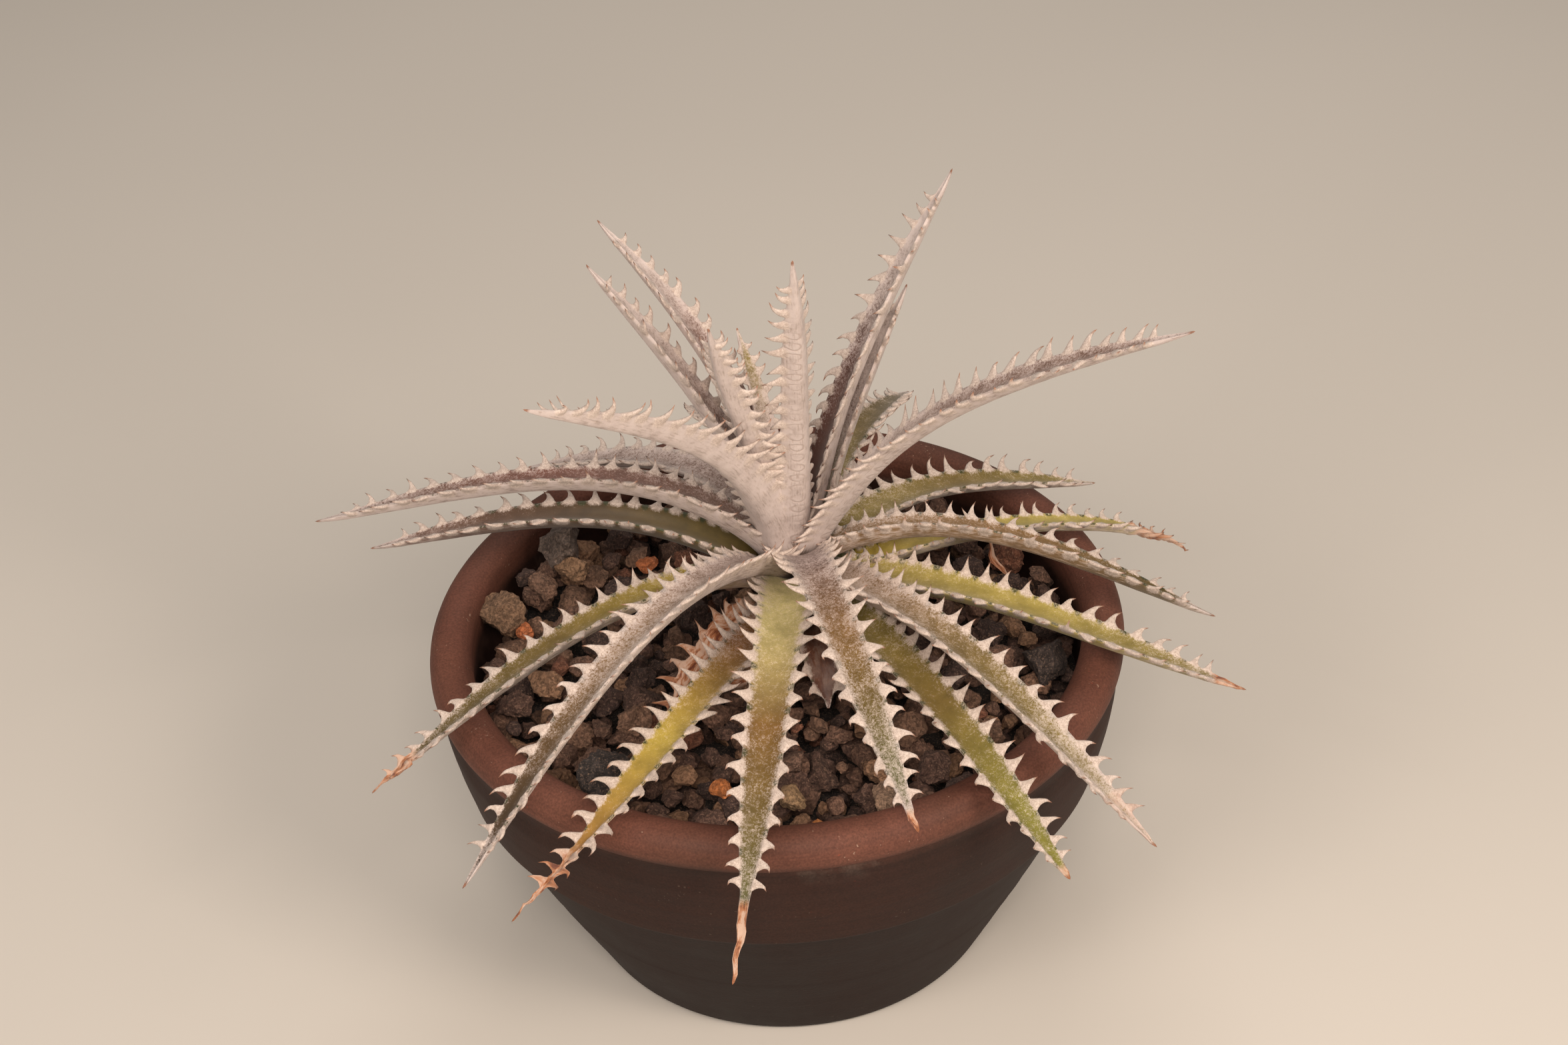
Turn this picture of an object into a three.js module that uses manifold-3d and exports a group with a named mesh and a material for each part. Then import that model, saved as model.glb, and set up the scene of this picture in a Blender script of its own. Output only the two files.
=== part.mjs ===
// A dyckia bromeliad growing in an unglazed clay bowl pot filled with pumice grit.
// Millimetres, +Z up. The origin is the centre of the pot's underside.
import * as THREE from 'three'
import { mergeVertices } from 'three/addons/utils/BufferGeometryUtils.js'
import Module from 'manifold-3d'

const wasm = await Module()
wasm.setup()

// ---- Driving dimensions -------------------------------------------------------------------

const GAP = 0.3 // clearance kept between neighbouring pieces

const POT = {
  rimRadius: 75, // widest point of the rolled lip
  lipRadius: 4.7, // radius of the lip's round section
  lipHeight: 75, // height of the lip's widest point
  ledgeRadius: 69.8, // lower edge of the collar under the lip
  ledgeHeight: 48.6,
  ledgeStep: 1.5, // how far the bowl steps in under the collar
  footRadius: 45.7,
  wall: 6.6,
  floor: 8,
  drainRadius: 4, // three drain holes spaced round the floor
  drainCircle: 24,
  sides: 48,
}

const GRIT = {
  surface: 68.5, // mean height of the grit
  relief: 2.6, // how far a grain stands above or below the mean
  grain: 8.5, // grain spacing, larger than life
  rings: 18,
  sides: 60,
}

const STEM = {
  x: 5, // the plant stands a little to the right of the pot's axis
  y: 0,
  bottom: 44,
  radius: 8,
  shoulder: 87, // the leafless part ends here and the stem narrows to its growing tip
  top: 101,
  topRadius: 2.8,
  scars: 5, // rings left by lost leaves, between the grit and the shoulder
  scarStep: 0.8, // how far a scar's ring stands out
  sides: 18,
}

const LEAF = {
  thickness: 0.26, // of the blade's width, plus the felted skin
  skin: 0.8,
  edge: 0.7, // thickness of the blade's edges and teeth
  channel: 0.32, // rise of the edges above the channel's floor, of the half width
  footing: 3, // how far the foot runs back into the stem
  footWidth: 0.55, // of the blade's width
  footSpread: 0.33, // how much further from the axis a foot stands for each mm further down
  // width along the toothed part of the blade: [share of its length, share of the width]
  profile: [[0, 1], [0.2, 0.9], [0.4, 0.75], [0.7, 0.64], [0.86, 0.45], [1, 0.16]],
  bareFoot: 0.12, // share of the length without teeth at the foot
  steps: 6, // integration steps between two sections
}

const TOOTH = {
  pitch: 7, // larger than life: one tooth stands for two
  length: 0.38, // of the blade's width
  taper: 0.75, // share of the length that is lost towards the tip
  uneven: 0.3, // spread of the lengths and of the leans
  lean: 0.45, // how far a tooth leans back, of its own length, at the foot of the blade
  leanChange: 0.7, // taken off that lean on the way to the tip, where teeth point forwards
  lift: 0.25, // how far a tooth points up, of its own length
  crowding: 1.1, // above 1 the teeth stand closer at the foot
}

// Each leaf leaves the stem at its heading (degrees, 0 = +X, 90 = +Y) and at its foot's height.
// It climbs at the angle rise, bends over to the angle fall, the sooner the larger bend is, and
// its heading turns on the way. Roll tips the blade about its own length. Needle is the share of
// the length taken by the bare needle tip, long where the tip has dried. Youngest leaves first.
const LEAF_COLUMNS = [
  'name', 'heading', 'turn', 'foot', 'rise', 'fall', 'bend', 'length', 'width', 'roll', 'needle', 'tone',
]
const LEAVES = [
  ['leaf_heart_small', 122, 2, 101, 88, 63, 1.6, 46, 6, 0, 0.07, 'tan'],
  ['leaf_heart_left', 233, 27, 101, 77, 60, 1.8, 81, 8, -8, 0.07, 'chalk'],
  ['leaf_heart_front', 280, -10, 101, 79, 69, 1.6, 90, 9, 28, 0.07, 'chalk'],
  ['leaf_upright_right', 33, 3, 100, 82, 49, 1.9, 85, 9, -18, 0.07, 'mauve'],
  ['leaf_upright_back', 140, 5, 100, 88, 37, 1.6, 80, 9, 15, 0.07, 'mauve'],
  ['leaf_upright_left', 159, -1, 99, 77, 47, 1.6, 74, 9, 16, 0.07, 'mauve'],
  ['leaf_rising_right', 329, 5, 98.5, 70, 25, 1.7, 116, 10, 4, 0.07, 'chalk'],
  ['leaf_rising_left', 232, -7, 98, 82, 32, 2.2, 106, 11, 25, 0.07, 'chalk'],
  ['leaf_front_topmost', 277, 16, 98, 45, -40, 1.7, 88, 11, 0, 0.07, 'mauve'],
  ['leaf_upright_far', 36, -1, 97, 73, 54, 1.4, 60, 8, -12, 0.07, 'tan'],
  ['leaf_left_upper', 179, -7, 96.5, 62, -17, 2.4, 106, 11, 14, 0.07, 'mauve'],
  ['leaf_right_upper', 352, -1, 96, 43, -28, 2.7, 91, 10, -20, 0.07, 'mauve'],
  ['leaf_front_left', 237, -12, 95.5, 48, -38, 1.7, 117, 11, 16, 0.07, 'tan'],
  ['leaf_back_far_left', 110, -3, 95, 42, -27, 1.8, 67, 9, 0, 0.07, 'tan'],
  ['leaf_back_far_right', 65, 2, 95, 38, -25, 1.7, 68, 9, 0, 0.07, 'green'],
  ['leaf_front_right', 309, 5, 94, 26, -29, 2, 103, 11, -12, 0.07, 'tan'],
  ['leaf_front', 264, -8, 93.5, 36, -34, 2.5, 107, 12.5, 0, 0.17, 'green'],
  ['leaf_back_right', 33, -9, 92.5, 37, -23, 2.9, 76, 10, 0, 0.07, 'green'],
  ['leaf_back_left', 118, 41, 92.5, 37, -21, 2.9, 81, 10, 0, 0.07, 'mauve'],
  ['leaf_left_lower', 173, -3, 91.5, 44, -19, 2, 91, 11, 6, 0.07, 'green'],
  ['leaf_left_front', 202, 14, 91.5, 32, -22, 2.9, 100, 10, 10, 0.12, 'green'],
  ['leaf_right', 338, 9, 91.5, 19, -20, 2.9, 94, 11, -6, 0.07, 'green'],
  ['leaf_right_behind', 1, 36, 90, 24, -46, 1.1, 95, 8, -8, 0.14, 'yellow'],
  ['leaf_front_right_lower', 301, -1, 89.5, 17, -22, 2, 94, 11, 0, 0.04, 'green'],
  ['leaf_front_left_oldest', 245, -20, 86.5, 18, -17, 2.2, 101, 10, 0, 0.2, 'yellow'],
  // dry remains of old leaves, low on the stem
  ['dry_leaf_base_left', 212, 20, 84.5, 5, -50, 1.2, 34, 9, 0, 0.1, 'dry'],
  ['dry_leaf_base_front', 285, -10, 84, -10, -60, 1.2, 20, 10, 0, 0.1, 'dry'],
].map((row) => Object.fromEntries(row.map((value, column) => [LEAF_COLUMNS[column], value])))

const COLOURS = {
  clay: '#6f554b',
  pumice: '#5c5250',
  bark: '#6a4a36',
  dry: '#a9805f',
  chalk: '#cfc3ba',
  mauve: '#a8938c',
  tan: '#a39a7c',
  green: '#8f9468',
  yellow: '#b3a24e',
}

// ---- Solids -------------------------------------------------------------------------------

// A closed triangle mesh as a solid: shared vertices are merged and collapsed triangles dropped.
function toSolid(geometry) {
  geometry.deleteAttribute('normal')
  geometry.deleteAttribute('uv')
  const merged = mergeVertices(geometry, 1e-4)
  const index = merged.index.array
  const triangles = []
  for (let i = 0; i < index.length; i += 3) {
    const [a, b, c] = index.slice(i, i + 3)
    if (a !== b && b !== c && c !== a) triangles.push(a, b, c)
  }
  const mesh = new wasm.Mesh({
    numProp: 3,
    vertProperties: new Float32Array(merged.attributes.position.array),
    triVerts: new Uint32Array(triangles),
  })
  return new wasm.Manifold(mesh)
}

function toGeometry(solid) {
  const mesh = solid.getMesh()
  const geometry = new THREE.BufferGeometry()
  geometry.setAttribute('position', new THREE.BufferAttribute(mesh.vertProperties, 3))
  geometry.setIndex(new THREE.BufferAttribute(mesh.triVerts, 1))
  return geometry
}

function toMesh(name, solid, colour, roughness = 0.9) {
  const material = new THREE.MeshStandardMaterial({ color: colour, roughness, metalness: 0 })
  const mesh = new THREE.Mesh(toGeometry(solid), material)
  mesh.name = name
  return mesh
}

// The largest body of a solid: what a cut leaves loose beside it is dropped.
function largestBody(solid) {
  return solid.decompose().reduce((a, b) => (a.volume() > b.volume() ? a : b))
}

// An outline of [radius, height] pairs turned about the Z axis.
function revolve(outline, sides) {
  const points = outline.map(([radius, height]) => new THREE.Vector2(radius, height))
  return new THREE.LatheGeometry(points, sides).rotateX(Math.PI / 2)
}

// Repeatable random numbers from 0 to 1.
function seededRandom(seed) {
  let state = seed
  return () => {
    state = (state * 1664525 + 1013904223) % 4294967296
    return state / 4294967296
  }
}

// ---- Pot ----------------------------------------------------------------------------------

// Inner face of the bowl, from its floor up to the lip.
const BOWL_INSIDE = [
  [39, POT.floor],
  [45.5, 13],
  [57, 37],
  [POT.ledgeRadius - POT.wall, POT.ledgeHeight],
  [65.7, 66],
  [66, 73],
]

function lipOutline() {
  const centre = new THREE.Vector2(POT.rimRadius - POT.lipRadius, POT.lipHeight)
  const outline = []
  for (let degrees = -50; degrees <= 170; degrees += 44) {
    const angle = THREE.MathUtils.degToRad(degrees)
    outline.push([
      centre.x + POT.lipRadius * Math.cos(angle),
      centre.y + POT.lipRadius * Math.sin(angle),
    ])
  }
  return outline
}

function buildPot() {
  const outside = [
    [0, 0],
    [POT.footRadius - 1.5, 0],
    [POT.footRadius, 1.5],
    [57.2, 24.5],
    [POT.ledgeRadius - POT.ledgeStep, POT.ledgeHeight - 0.8],
    [POT.ledgeRadius, POT.ledgeHeight],
    [72.2, 58],
    [73.4, 65],
    [73.8, 70],
  ]
  const inside = [...BOWL_INSIDE].reverse()
  let pot = toSolid(revolve([...outside, ...lipOutline(), ...inside, [0, POT.floor]], POT.sides))
  for (let hole = 0; hole < 3; hole++) {
    const angle = (hole * Math.PI * 2) / 3
    const drill = new THREE.CylinderGeometry(POT.drainRadius, POT.drainRadius, POT.floor * 3, 16)
    drill.rotateX(Math.PI / 2)
    drill.translate(POT.drainCircle * Math.cos(angle), POT.drainCircle * Math.sin(angle), 0)
    pot = pot.subtract(toSolid(drill))
  }
  return pot
}

// ---- Grit ---------------------------------------------------------------------------------

// Centres and heights of the grains on a jittered triangular grid.
function scatterGrains() {
  const random = seededRandom(11)
  const grains = []
  const rows = Math.ceil(POT.rimRadius / GRIT.grain)
  for (let row = -rows; row <= rows; row++) {
    for (let column = -rows; column <= rows; column++) {
      grains.push({
        x: (column + (row % 2) / 2 + (random() - 0.5) * 0.6) * GRIT.grain,
        y: (row * 0.87 + (random() - 0.5) * 0.6) * GRIT.grain,
        height: 0.35 + 0.65 * random(),
      })
    }
  }
  return grains
}

// Height of the grit above its mean: each grain is a dome, and the ground dips between two grains.
function gritRelief(grains, x, y) {
  let nearest = Infinity
  let height = 0
  for (const grain of grains) {
    const distance = Math.hypot(grain.x - x, grain.y - y)
    if (distance < nearest) {
      nearest = distance
      height = grain.height
    }
  }
  const reach = nearest / (GRIT.grain * 0.55)
  return GRIT.relief * Math.max(-1, height * (1 - reach * reach * 1.6))
}

function buildGrit() {
  const wall = BOWL_INSIDE.filter(([, height]) => height < GRIT.surface)
  const outline = [[0, POT.floor + GAP]]
  outline.push(...wall.map(([radius, height]) => [radius - 2 * GAP, height + GAP]))
  const edge = BOWL_INSIDE.at(-2)[0] - 2 * GAP
  for (let ring = 0; ring <= GRIT.rings; ring++) {
    outline.push([edge * (1 - ring / GRIT.rings), GRIT.surface])
  }
  const geometry = revolve(outline, GRIT.sides)
  const position = geometry.attributes.position
  const grains = scatterGrains()
  for (let i = 0; i < position.count; i++) {
    if (Math.abs(position.getZ(i) - GRIT.surface) > 0.01) continue
    position.setZ(i, GRIT.surface + gritRelief(grains, position.getX(i), position.getY(i)))
  }
  const holeBottom = STEM.bottom - GAP
  const depth = GRIT.surface + 2 * GRIT.relief - holeBottom
  const hole = new THREE.CylinderGeometry(STEM.radius + GAP, STEM.radius + GAP, depth, STEM.sides)
  hole.rotateX(Math.PI / 2).translate(STEM.x, STEM.y, holeBottom + depth / 2)
  return toSolid(geometry).subtract(toSolid(hole))
}

// ---- Stem ---------------------------------------------------------------------------------

// The stem tapers upwards; each scar of a lost leaf leaves a shallow ring.
function buildStem(grow = 0) {
  const radius = STEM.radius + grow
  const outline = [[0, STEM.bottom - grow], [radius, STEM.bottom - grow]]
  const lowestScar = GRIT.surface + 4
  for (let scar = 0; scar < STEM.scars; scar++) {
    const height = THREE.MathUtils.lerp(lowestScar, STEM.shoulder, scar / STEM.scars)
    outline.push([radius, height], [radius - STEM.scarStep, height + 1])
  }
  outline.push([radius, STEM.shoulder])
  outline.push([STEM.topRadius + grow, STEM.top - 0.8 + grow])
  outline.push([0, STEM.top + grow])
  return toSolid(revolve(outline, STEM.sides).translate(STEM.x, STEM.y, 0))
}

// ---- Leaves -------------------------------------------------------------------------------

// Young leaves stand higher on the stem and closer to its axis.
function footRadius(foot) {
  return STEM.topRadius + 0.5 + (STEM.top - foot) * LEAF.footSpread
}

// The blade is narrow where it leaves the stem, broadest close above, keeps most of its width
// for two thirds of its length and narrows to the neck of its needle tip.
function halfWidth(leaf, share) {
  if (share < 0) return (leaf.width / 2) * LEAF.footWidth
  const place = Math.min(1, share / (1 - leaf.needle))
  const next = Math.max(1, LEAF.profile.findIndex(([end]) => place <= end))
  const [[start, wide], [end, narrow]] = [LEAF.profile[next - 1], LEAF.profile[next]]
  return (leaf.width / 2) * THREE.MathUtils.mapLinear(place, start, end, wide, narrow)
}

// The leaf's midline from its foot to its tip, with the blade's own axes at every section:
// along runs to the tip, side to the left edge and up out of the channel.
function leafSections(leaf, shares) {
  const radians = THREE.MathUtils.degToRad
  const heading = radians(leaf.heading)
  const reach = footRadius(leaf.foot)
  const point = new THREE.Vector3(
    STEM.x + reach * Math.cos(heading),
    STEM.y + reach * Math.sin(heading),
    leaf.foot,
  )
  const axesAt = (share) => {
    const bent = Math.max(0, 1 - share) ** leaf.bend
    const climb = radians(leaf.fall + (leaf.rise - leaf.fall) * Math.min(1, bent))
    const course = heading + radians(leaf.turn) * Math.max(0, share)
    const along = new THREE.Vector3(
      Math.cos(climb) * Math.cos(course),
      Math.cos(climb) * Math.sin(course),
      Math.sin(climb),
    )
    const side = new THREE.Vector3(-Math.sin(course), Math.cos(course), 0)
    side.applyAxisAngle(along, radians(leaf.roll))
    return { along, side, up: new THREE.Vector3().crossVectors(along, side) }
  }
  let previous = 0
  return shares.map((share) => {
    const step = (share - previous) / LEAF.steps
    for (let i = 0; i < LEAF.steps; i++) {
      point.addScaledVector(axesAt(previous + (i + 0.5) * step).along, step * leaf.length)
    }
    previous = share
    return { share, point: point.clone(), ...axesAt(share) }
  })
}

// A channel above and a keel below: [across, above] of the six corners of a section, over the
// top from the left edge to the right one and back underneath. The channel's floor and the keel
// grow a fifth more, because the faces beside them slope.
function sectionCorners(leaf, share, grow) {
  const half = halfWidth(leaf, share)
  const rise = LEAF.channel * half
  const keel = -(LEAF.thickness * 2 * half + LEAF.skin)
  const slopeGrow = grow * 1.2
  return [
    [half + grow, rise + grow],
    [0, slopeGrow],
    [-half - grow, rise + grow],
    [-half - grow, rise - LEAF.edge - grow],
    [0, keel - slopeGrow],
    [half + grow, rise - LEAF.edge - grow],
  ]
}

// Teeth stand on the left edge at even sections and on the right edge at odd ones. They lean back
// towards the foot on the lower blade and forwards near the tip. Grow thickens the whole leaf.
function buildLeaf(leaf, grow = 0) {
  const toothedShare = 1 - LEAF.bareFoot - leaf.needle
  const teeth = Math.max(2, Math.round((leaf.length * toothedShare) / TOOTH.pitch))
  const shares = [-(LEAF.footing + grow) / leaf.length]
  for (let section = 0; section <= 2 * teeth; section++) {
    shares.push(LEAF.bareFoot + toothedShare * (section / (2 * teeth)) ** TOOTH.crowding)
  }
  const random = seededRandom(leaf.length * 31 + leaf.heading)
  const rings = leafSections(leaf, shares).map((section, index) => {
    const { share, point, along, side, up } = section
    const toothed = index > 1 && index < shares.length - 1
    const toothSide = index % 2 === 0 ? 1 : -1
    const size = TOOTH.length * leaf.width * (1 - TOOTH.taper * share ** 3)
    const length = size * (1 + TOOTH.uneven * (random() - 0.5))
    const lean = length * (TOOTH.lean - TOOTH.leanChange * share + TOOTH.uneven * (random() - 0.5))
    return sectionCorners(leaf, share, grow).map(([across, above]) => {
      const position = point.clone().addScaledVector(side, across).addScaledVector(up, above)
      if (toothed && Math.sign(across) === toothSide) {
        position.addScaledVector(side, toothSide * (length + grow))
        position.addScaledVector(up, TOOTH.lift * length).addScaledVector(along, -lean)
      }
      return position
    })
  })
  const [tip] = leafSections(leaf, [1 + (2 * grow) / leaf.length])
  return toSolid(closeRings(rings, tip.point))
}

// Joins rings of corners into one closed skin, from a flat foot to a pointed tip. A diagonal
// starts from the edge that carries a tooth, alike on the upper and the lower face.
function closeRings(rings, tip) {
  const corners = rings[0].length
  const at = (ring, corner) => ring * corners + (corner % corners)
  const index = []
  for (let ring = 0; ring < rings.length - 1; ring++) {
    for (let corner = 0; corner < corners; corner++) {
      const [here, hereNext] = [at(ring, corner), at(ring, corner + 1)]
      const [there, thereNext] = [at(ring + 1, corner), at(ring + 1, corner + 1)]
      const leftToothHere = ring % 2 === 0
      const upperFace = corner < corners / 2
      if (upperFace === leftToothHere) index.push(here, hereNext, thereNext, here, thereNext, there)
      else index.push(here, hereNext, there, hereNext, thereNext, there)
    }
  }
  const end = rings.length - 1
  const apex = rings.length * corners
  for (let corner = 0; corner < corners; corner++) {
    index.push(at(end, corner), at(end, corner + 1), apex)
    if (corner > 0 && corner < corners - 1) index.push(at(0, 0), at(0, corner + 1), at(0, corner))
  }
  const positions = [...rings.flat(), tip].flatMap((corner) => corner.toArray())
  const geometry = new THREE.BufferGeometry()
  geometry.setAttribute('position', new THREE.Float32BufferAttribute(positions, 3))
  geometry.setIndex(index)
  return geometry
}

// ---- Assembly -----------------------------------------------------------------------------

// Leaves are listed from the youngest outwards. Each is cut clear of the stem and of the leaves
// before it, whose feet it wraps.
function buildLeaves() {
  let taken = buildStem(GAP)
  return LEAVES.map((leaf) => {
    const clear = largestBody(buildLeaf(leaf).subtract(taken).simplify(0.05))
    taken = taken.add(buildLeaf(leaf, GAP))
    return toMesh(leaf.name, clear, COLOURS[leaf.tone], 0.8)
  })
}

const plant = new THREE.Group()
plant.add(toMesh('stem', buildStem(), COLOURS.bark))
plant.add(...buildLeaves())

const dyckiaInPot = new THREE.Group()
dyckiaInPot.add(toMesh('pot', buildPot(), COLOURS.clay, 0.85))
dyckiaInPot.add(toMesh('grit', buildGrit(), COLOURS.pumice, 0.95))
dyckiaInPot.add(plant)

export default dyckiaInPot
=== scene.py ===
# A dyckia bromeliad in a bowl pot of brown clay, filled with pumice grit: the looks of the part.
# Metres, +Z up. The origin is the centre of the pot's underside.
from collections import namedtuple
from math import cos, hypot, pi, radians, sin, sqrt

import bmesh
import bpy
import numpy as np
from mathutils import Matrix, Vector, noise


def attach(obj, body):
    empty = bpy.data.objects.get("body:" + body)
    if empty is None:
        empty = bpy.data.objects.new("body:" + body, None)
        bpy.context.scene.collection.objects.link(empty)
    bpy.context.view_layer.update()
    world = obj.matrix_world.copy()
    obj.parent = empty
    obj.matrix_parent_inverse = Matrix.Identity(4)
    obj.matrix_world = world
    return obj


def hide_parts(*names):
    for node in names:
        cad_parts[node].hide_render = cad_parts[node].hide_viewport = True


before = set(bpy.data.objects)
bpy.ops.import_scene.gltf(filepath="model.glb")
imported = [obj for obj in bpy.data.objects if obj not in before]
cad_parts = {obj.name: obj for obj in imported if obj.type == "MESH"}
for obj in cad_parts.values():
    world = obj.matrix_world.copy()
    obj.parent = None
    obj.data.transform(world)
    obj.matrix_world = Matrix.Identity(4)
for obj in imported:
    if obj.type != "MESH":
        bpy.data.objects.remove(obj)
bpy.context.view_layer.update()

MM = 0.001

# ---- Camera ---------------------------------------------------------------------------------
# It looks down at the pot from the front with a long lens, tilted a little to one side.

CAMERA_PLACE = (0.0031, -0.5694, 0.5179)
CAMERA_DOWN = radians(36)
CAMERA_TILT = radians(-3.5)
CAMERA_LENS = 76.5  # mm, on film 36 mm wide


def put_in_scene(name, data):
    """A new object that holds the data."""
    thing = bpy.data.objects.new(name, data)
    bpy.context.scene.collection.objects.link(thing)
    return thing


camera = put_in_scene("camera", bpy.data.cameras.new("camera"))
camera.data.lens = CAMERA_LENS
camera.data.sensor_width = 36
camera.data.clip_start = 0.01
camera.matrix_world = (
    Matrix.Translation(CAMERA_PLACE)
    @ Matrix.Rotation(pi / 2 - CAMERA_DOWN, 4, "X")
    @ Matrix.Rotation(CAMERA_TILT, 4, "Z")
)
bpy.context.scene.camera = camera

# ---- Floor and light ------------------------------------------------------------------------
# A plain pale floor under soft light: a warm key on the front right, a fill on the front left,
# one in front that reaches in between the leaves, and one behind that draws their edges.

FLOOR_SIZE = 6.0
LAMPS_POINT_AT = (0, 0, 0.09)


def linear(code):
    """An sRGB hex colour as linear RGBA."""
    channels = [int(code[i : i + 2], 16) / 255 for i in (1, 3, 5)]
    return [c / 12.92 if c <= 0.04045 else ((c + 0.055) / 1.055) ** 2.4 for c in channels] + [1.0]


def add(tree, kind, inputs=(), stops=(), **settings):
    """Adds a node with its settings. Inputs are values or links, by name or by number. From and
    To each stand for the two ends of a range."""
    node = tree.nodes.new("ShaderNode" + kind)
    for name, value in settings.items():
        setattr(node, name, value)
    inputs = dict(inputs)
    for name in {"From", "To"} & set(inputs):
        inputs[name + " Min"], inputs[name + " Max"] = inputs.pop(name)
    for key, value in inputs.items():
        named = [s for s in node.inputs if s.enabled and s.name == key]
        socket = node.inputs[key] if isinstance(key, int) else named[0]
        if isinstance(value, bpy.types.Node):
            tree.links.new(next(s for s in value.outputs if s.enabled), socket)
        elif isinstance(value, bpy.types.NodeSocket):
            tree.links.new(value, socket)
        else:
            socket.default_value = value
    for place, (position, code) in enumerate(stops):
        ramp = node.color_ramp.elements
        stop = ramp[place] if place < 2 else ramp.new(position)
        stop.position = position
        stop.color = linear(code)
    return node


def new_material(name):
    """A node material, its tree and the output that gives the place on the piece, in metres."""
    material = bpy.data.materials.new(name)
    material.use_nodes = True
    tree = material.node_tree
    tree.nodes.clear()
    return material, tree, add(tree, "TexCoord").outputs["Object"]


# Painted board, matte and pale. A faint mottle, in clouds of 0.3 m, keeps it from looking empty.
board, tree, place = new_material("matte painted board")
mottle = add(tree, "TexNoise", {"Vector": place, "Scale": 0.003 / MM, "Detail": 2.0})
paint = add(tree, "ValToRGB", {"Fac": mottle}, stops=[(0.3, "#d6d0c8"), (0.7, "#dcd6ce")])
surface = add(tree, "BsdfPrincipled", {"Base Color": paint, "Roughness": 0.9})
add(tree, "OutputMaterial", {"Surface": surface})

corners = [(x * FLOOR_SIZE / 2, y * FLOOR_SIZE / 2, 0) for x, y in ((-1, -1), (1, -1), (1, 1), (-1, 1))]
floor_mesh = bpy.data.meshes.new("floor")
floor_mesh.from_pydata(corners, [], [(0, 1, 2, 3)])
floor_mesh.materials.append(board)
floor = put_in_scene("floor", floor_mesh)

LIGHTS = [
    # name, place, width, watts, colour
    ("key", (0.40, -0.48, 0.54), 0.24, 3.1, "#ffeedd"),
    ("fill", (-0.45, -0.55, 0.6), 0.3, 2.4, "#fff1e4"),
    ("front", (0.0, -0.62, 0.66), 0.2, 2.6, "#fff0e2"),
    ("back", (0.05, 0.45, 0.75), 0.4, 1.2, "#fff3e8"),
]
for name, stand, width, watts, code in LIGHTS:
    light = bpy.data.lights.new(name, "AREA")
    light.size = width
    light.energy = watts
    light.color = linear(code)[:3]
    lamp = put_in_scene(name, light)
    lamp.location = stand
    beam = Vector(LAMPS_POINT_AT) - Vector(stand)
    lamp.rotation_euler = beam.to_track_quat("-Z", "Y").to_euler()

world = bpy.data.worlds.new("studio")
world.use_nodes = True
world.node_tree.nodes["Background"].inputs["Color"].default_value = linear("#e6e1da")
world.node_tree.nodes["Background"].inputs["Strength"].default_value = 0.3
bpy.context.scene.world = world
bpy.context.scene.view_settings.view_transform = "Standard"

# ---- Pot ------------------------------------------------------------------------------------
# A bowl thrown in brown clay and fired without a glaze. The lip is rolled over, with a crease
# under it, and the bowl steps in below its collar. Three drain holes are cut through the floor.

RIM_RADIUS = 75.0 * MM
LIP_RADIUS = 4.7 * MM
LIP_HEIGHT = 75.0 * MM
LEDGE_RADIUS = 69.8 * MM
LEDGE_HEIGHT = 48.6 * MM
LEDGE_STEP = 1.5 * MM
FOOT_RADIUS = 45.7 * MM
POT_FLOOR = 8.0 * MM
WALL = 6.6 * MM
DRAIN_RADIUS = 4.0 * MM
DRAIN_CIRCLE = 24.0 * MM
DRAIN_HOLES = 3
POT_SIDES = 220
THROWING = 0.12 * MM  # how far the wheel's drag leaves the wall out of round


def fillet(corners, radius, steps=5):
    """Rounds the inner corners of an outline of (radius, height) points."""
    outline = [corners[0]]
    for before, corner, after in zip(corners, corners[1:], corners[2:]):
        before, corner, after = (np.array(p, float) for p in (before, corner, after))
        into = (before - corner) / np.linalg.norm(before - corner)
        away = (after - corner) / np.linalg.norm(after - corner)
        sides = np.linalg.norm(before - corner), np.linalg.norm(after - corner)
        reach = min(radius, 0.4 * min(sides))
        for t in np.linspace(0, 1, steps):
            outline.append(tuple(corner + (1 - t) ** 2 * into * reach + t**2 * away * reach))
    return outline + [corners[-1]]


def resample(outline, spacing):
    """Adds points along an outline's long stretches."""
    dense = []
    for start, end in zip(outline, outline[1:]):
        parts = max(1, round(hypot(end[0] - start[0], end[1] - start[1]) / spacing))
        for t in range(parts):
            dense.append([a + (b - a) * t / parts for a, b in zip(start, end)])
    return dense + [list(outline[-1])]


def lathe(outline, sides):
    """Points and faces of an outline turned about Z. It starts and ends on the axis."""
    rings = outline[1:-1]
    angles = np.arange(sides) * 2 * pi / sides
    points = [(r * cos(a), r * sin(a), z) for r, z in rings for a in angles]
    faces = []
    for ring in range(len(rings) - 1):
        for k in range(sides):
            a, b = ring * sides + k, ring * sides + (k + 1) % sides
            faces.append((a, b, b + sides, a + sides))
    low, high = len(points), len(points) + 1
    points += [(0, 0, outline[0][1]), (0, 0, outline[-1][1])]
    last = (len(rings) - 1) * sides
    for k in range(sides):
        faces.append((low, (k + 1) % sides, k))
        faces.append((high, last + k, last + (k + 1) % sides))
    return np.array(points), faces


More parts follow.
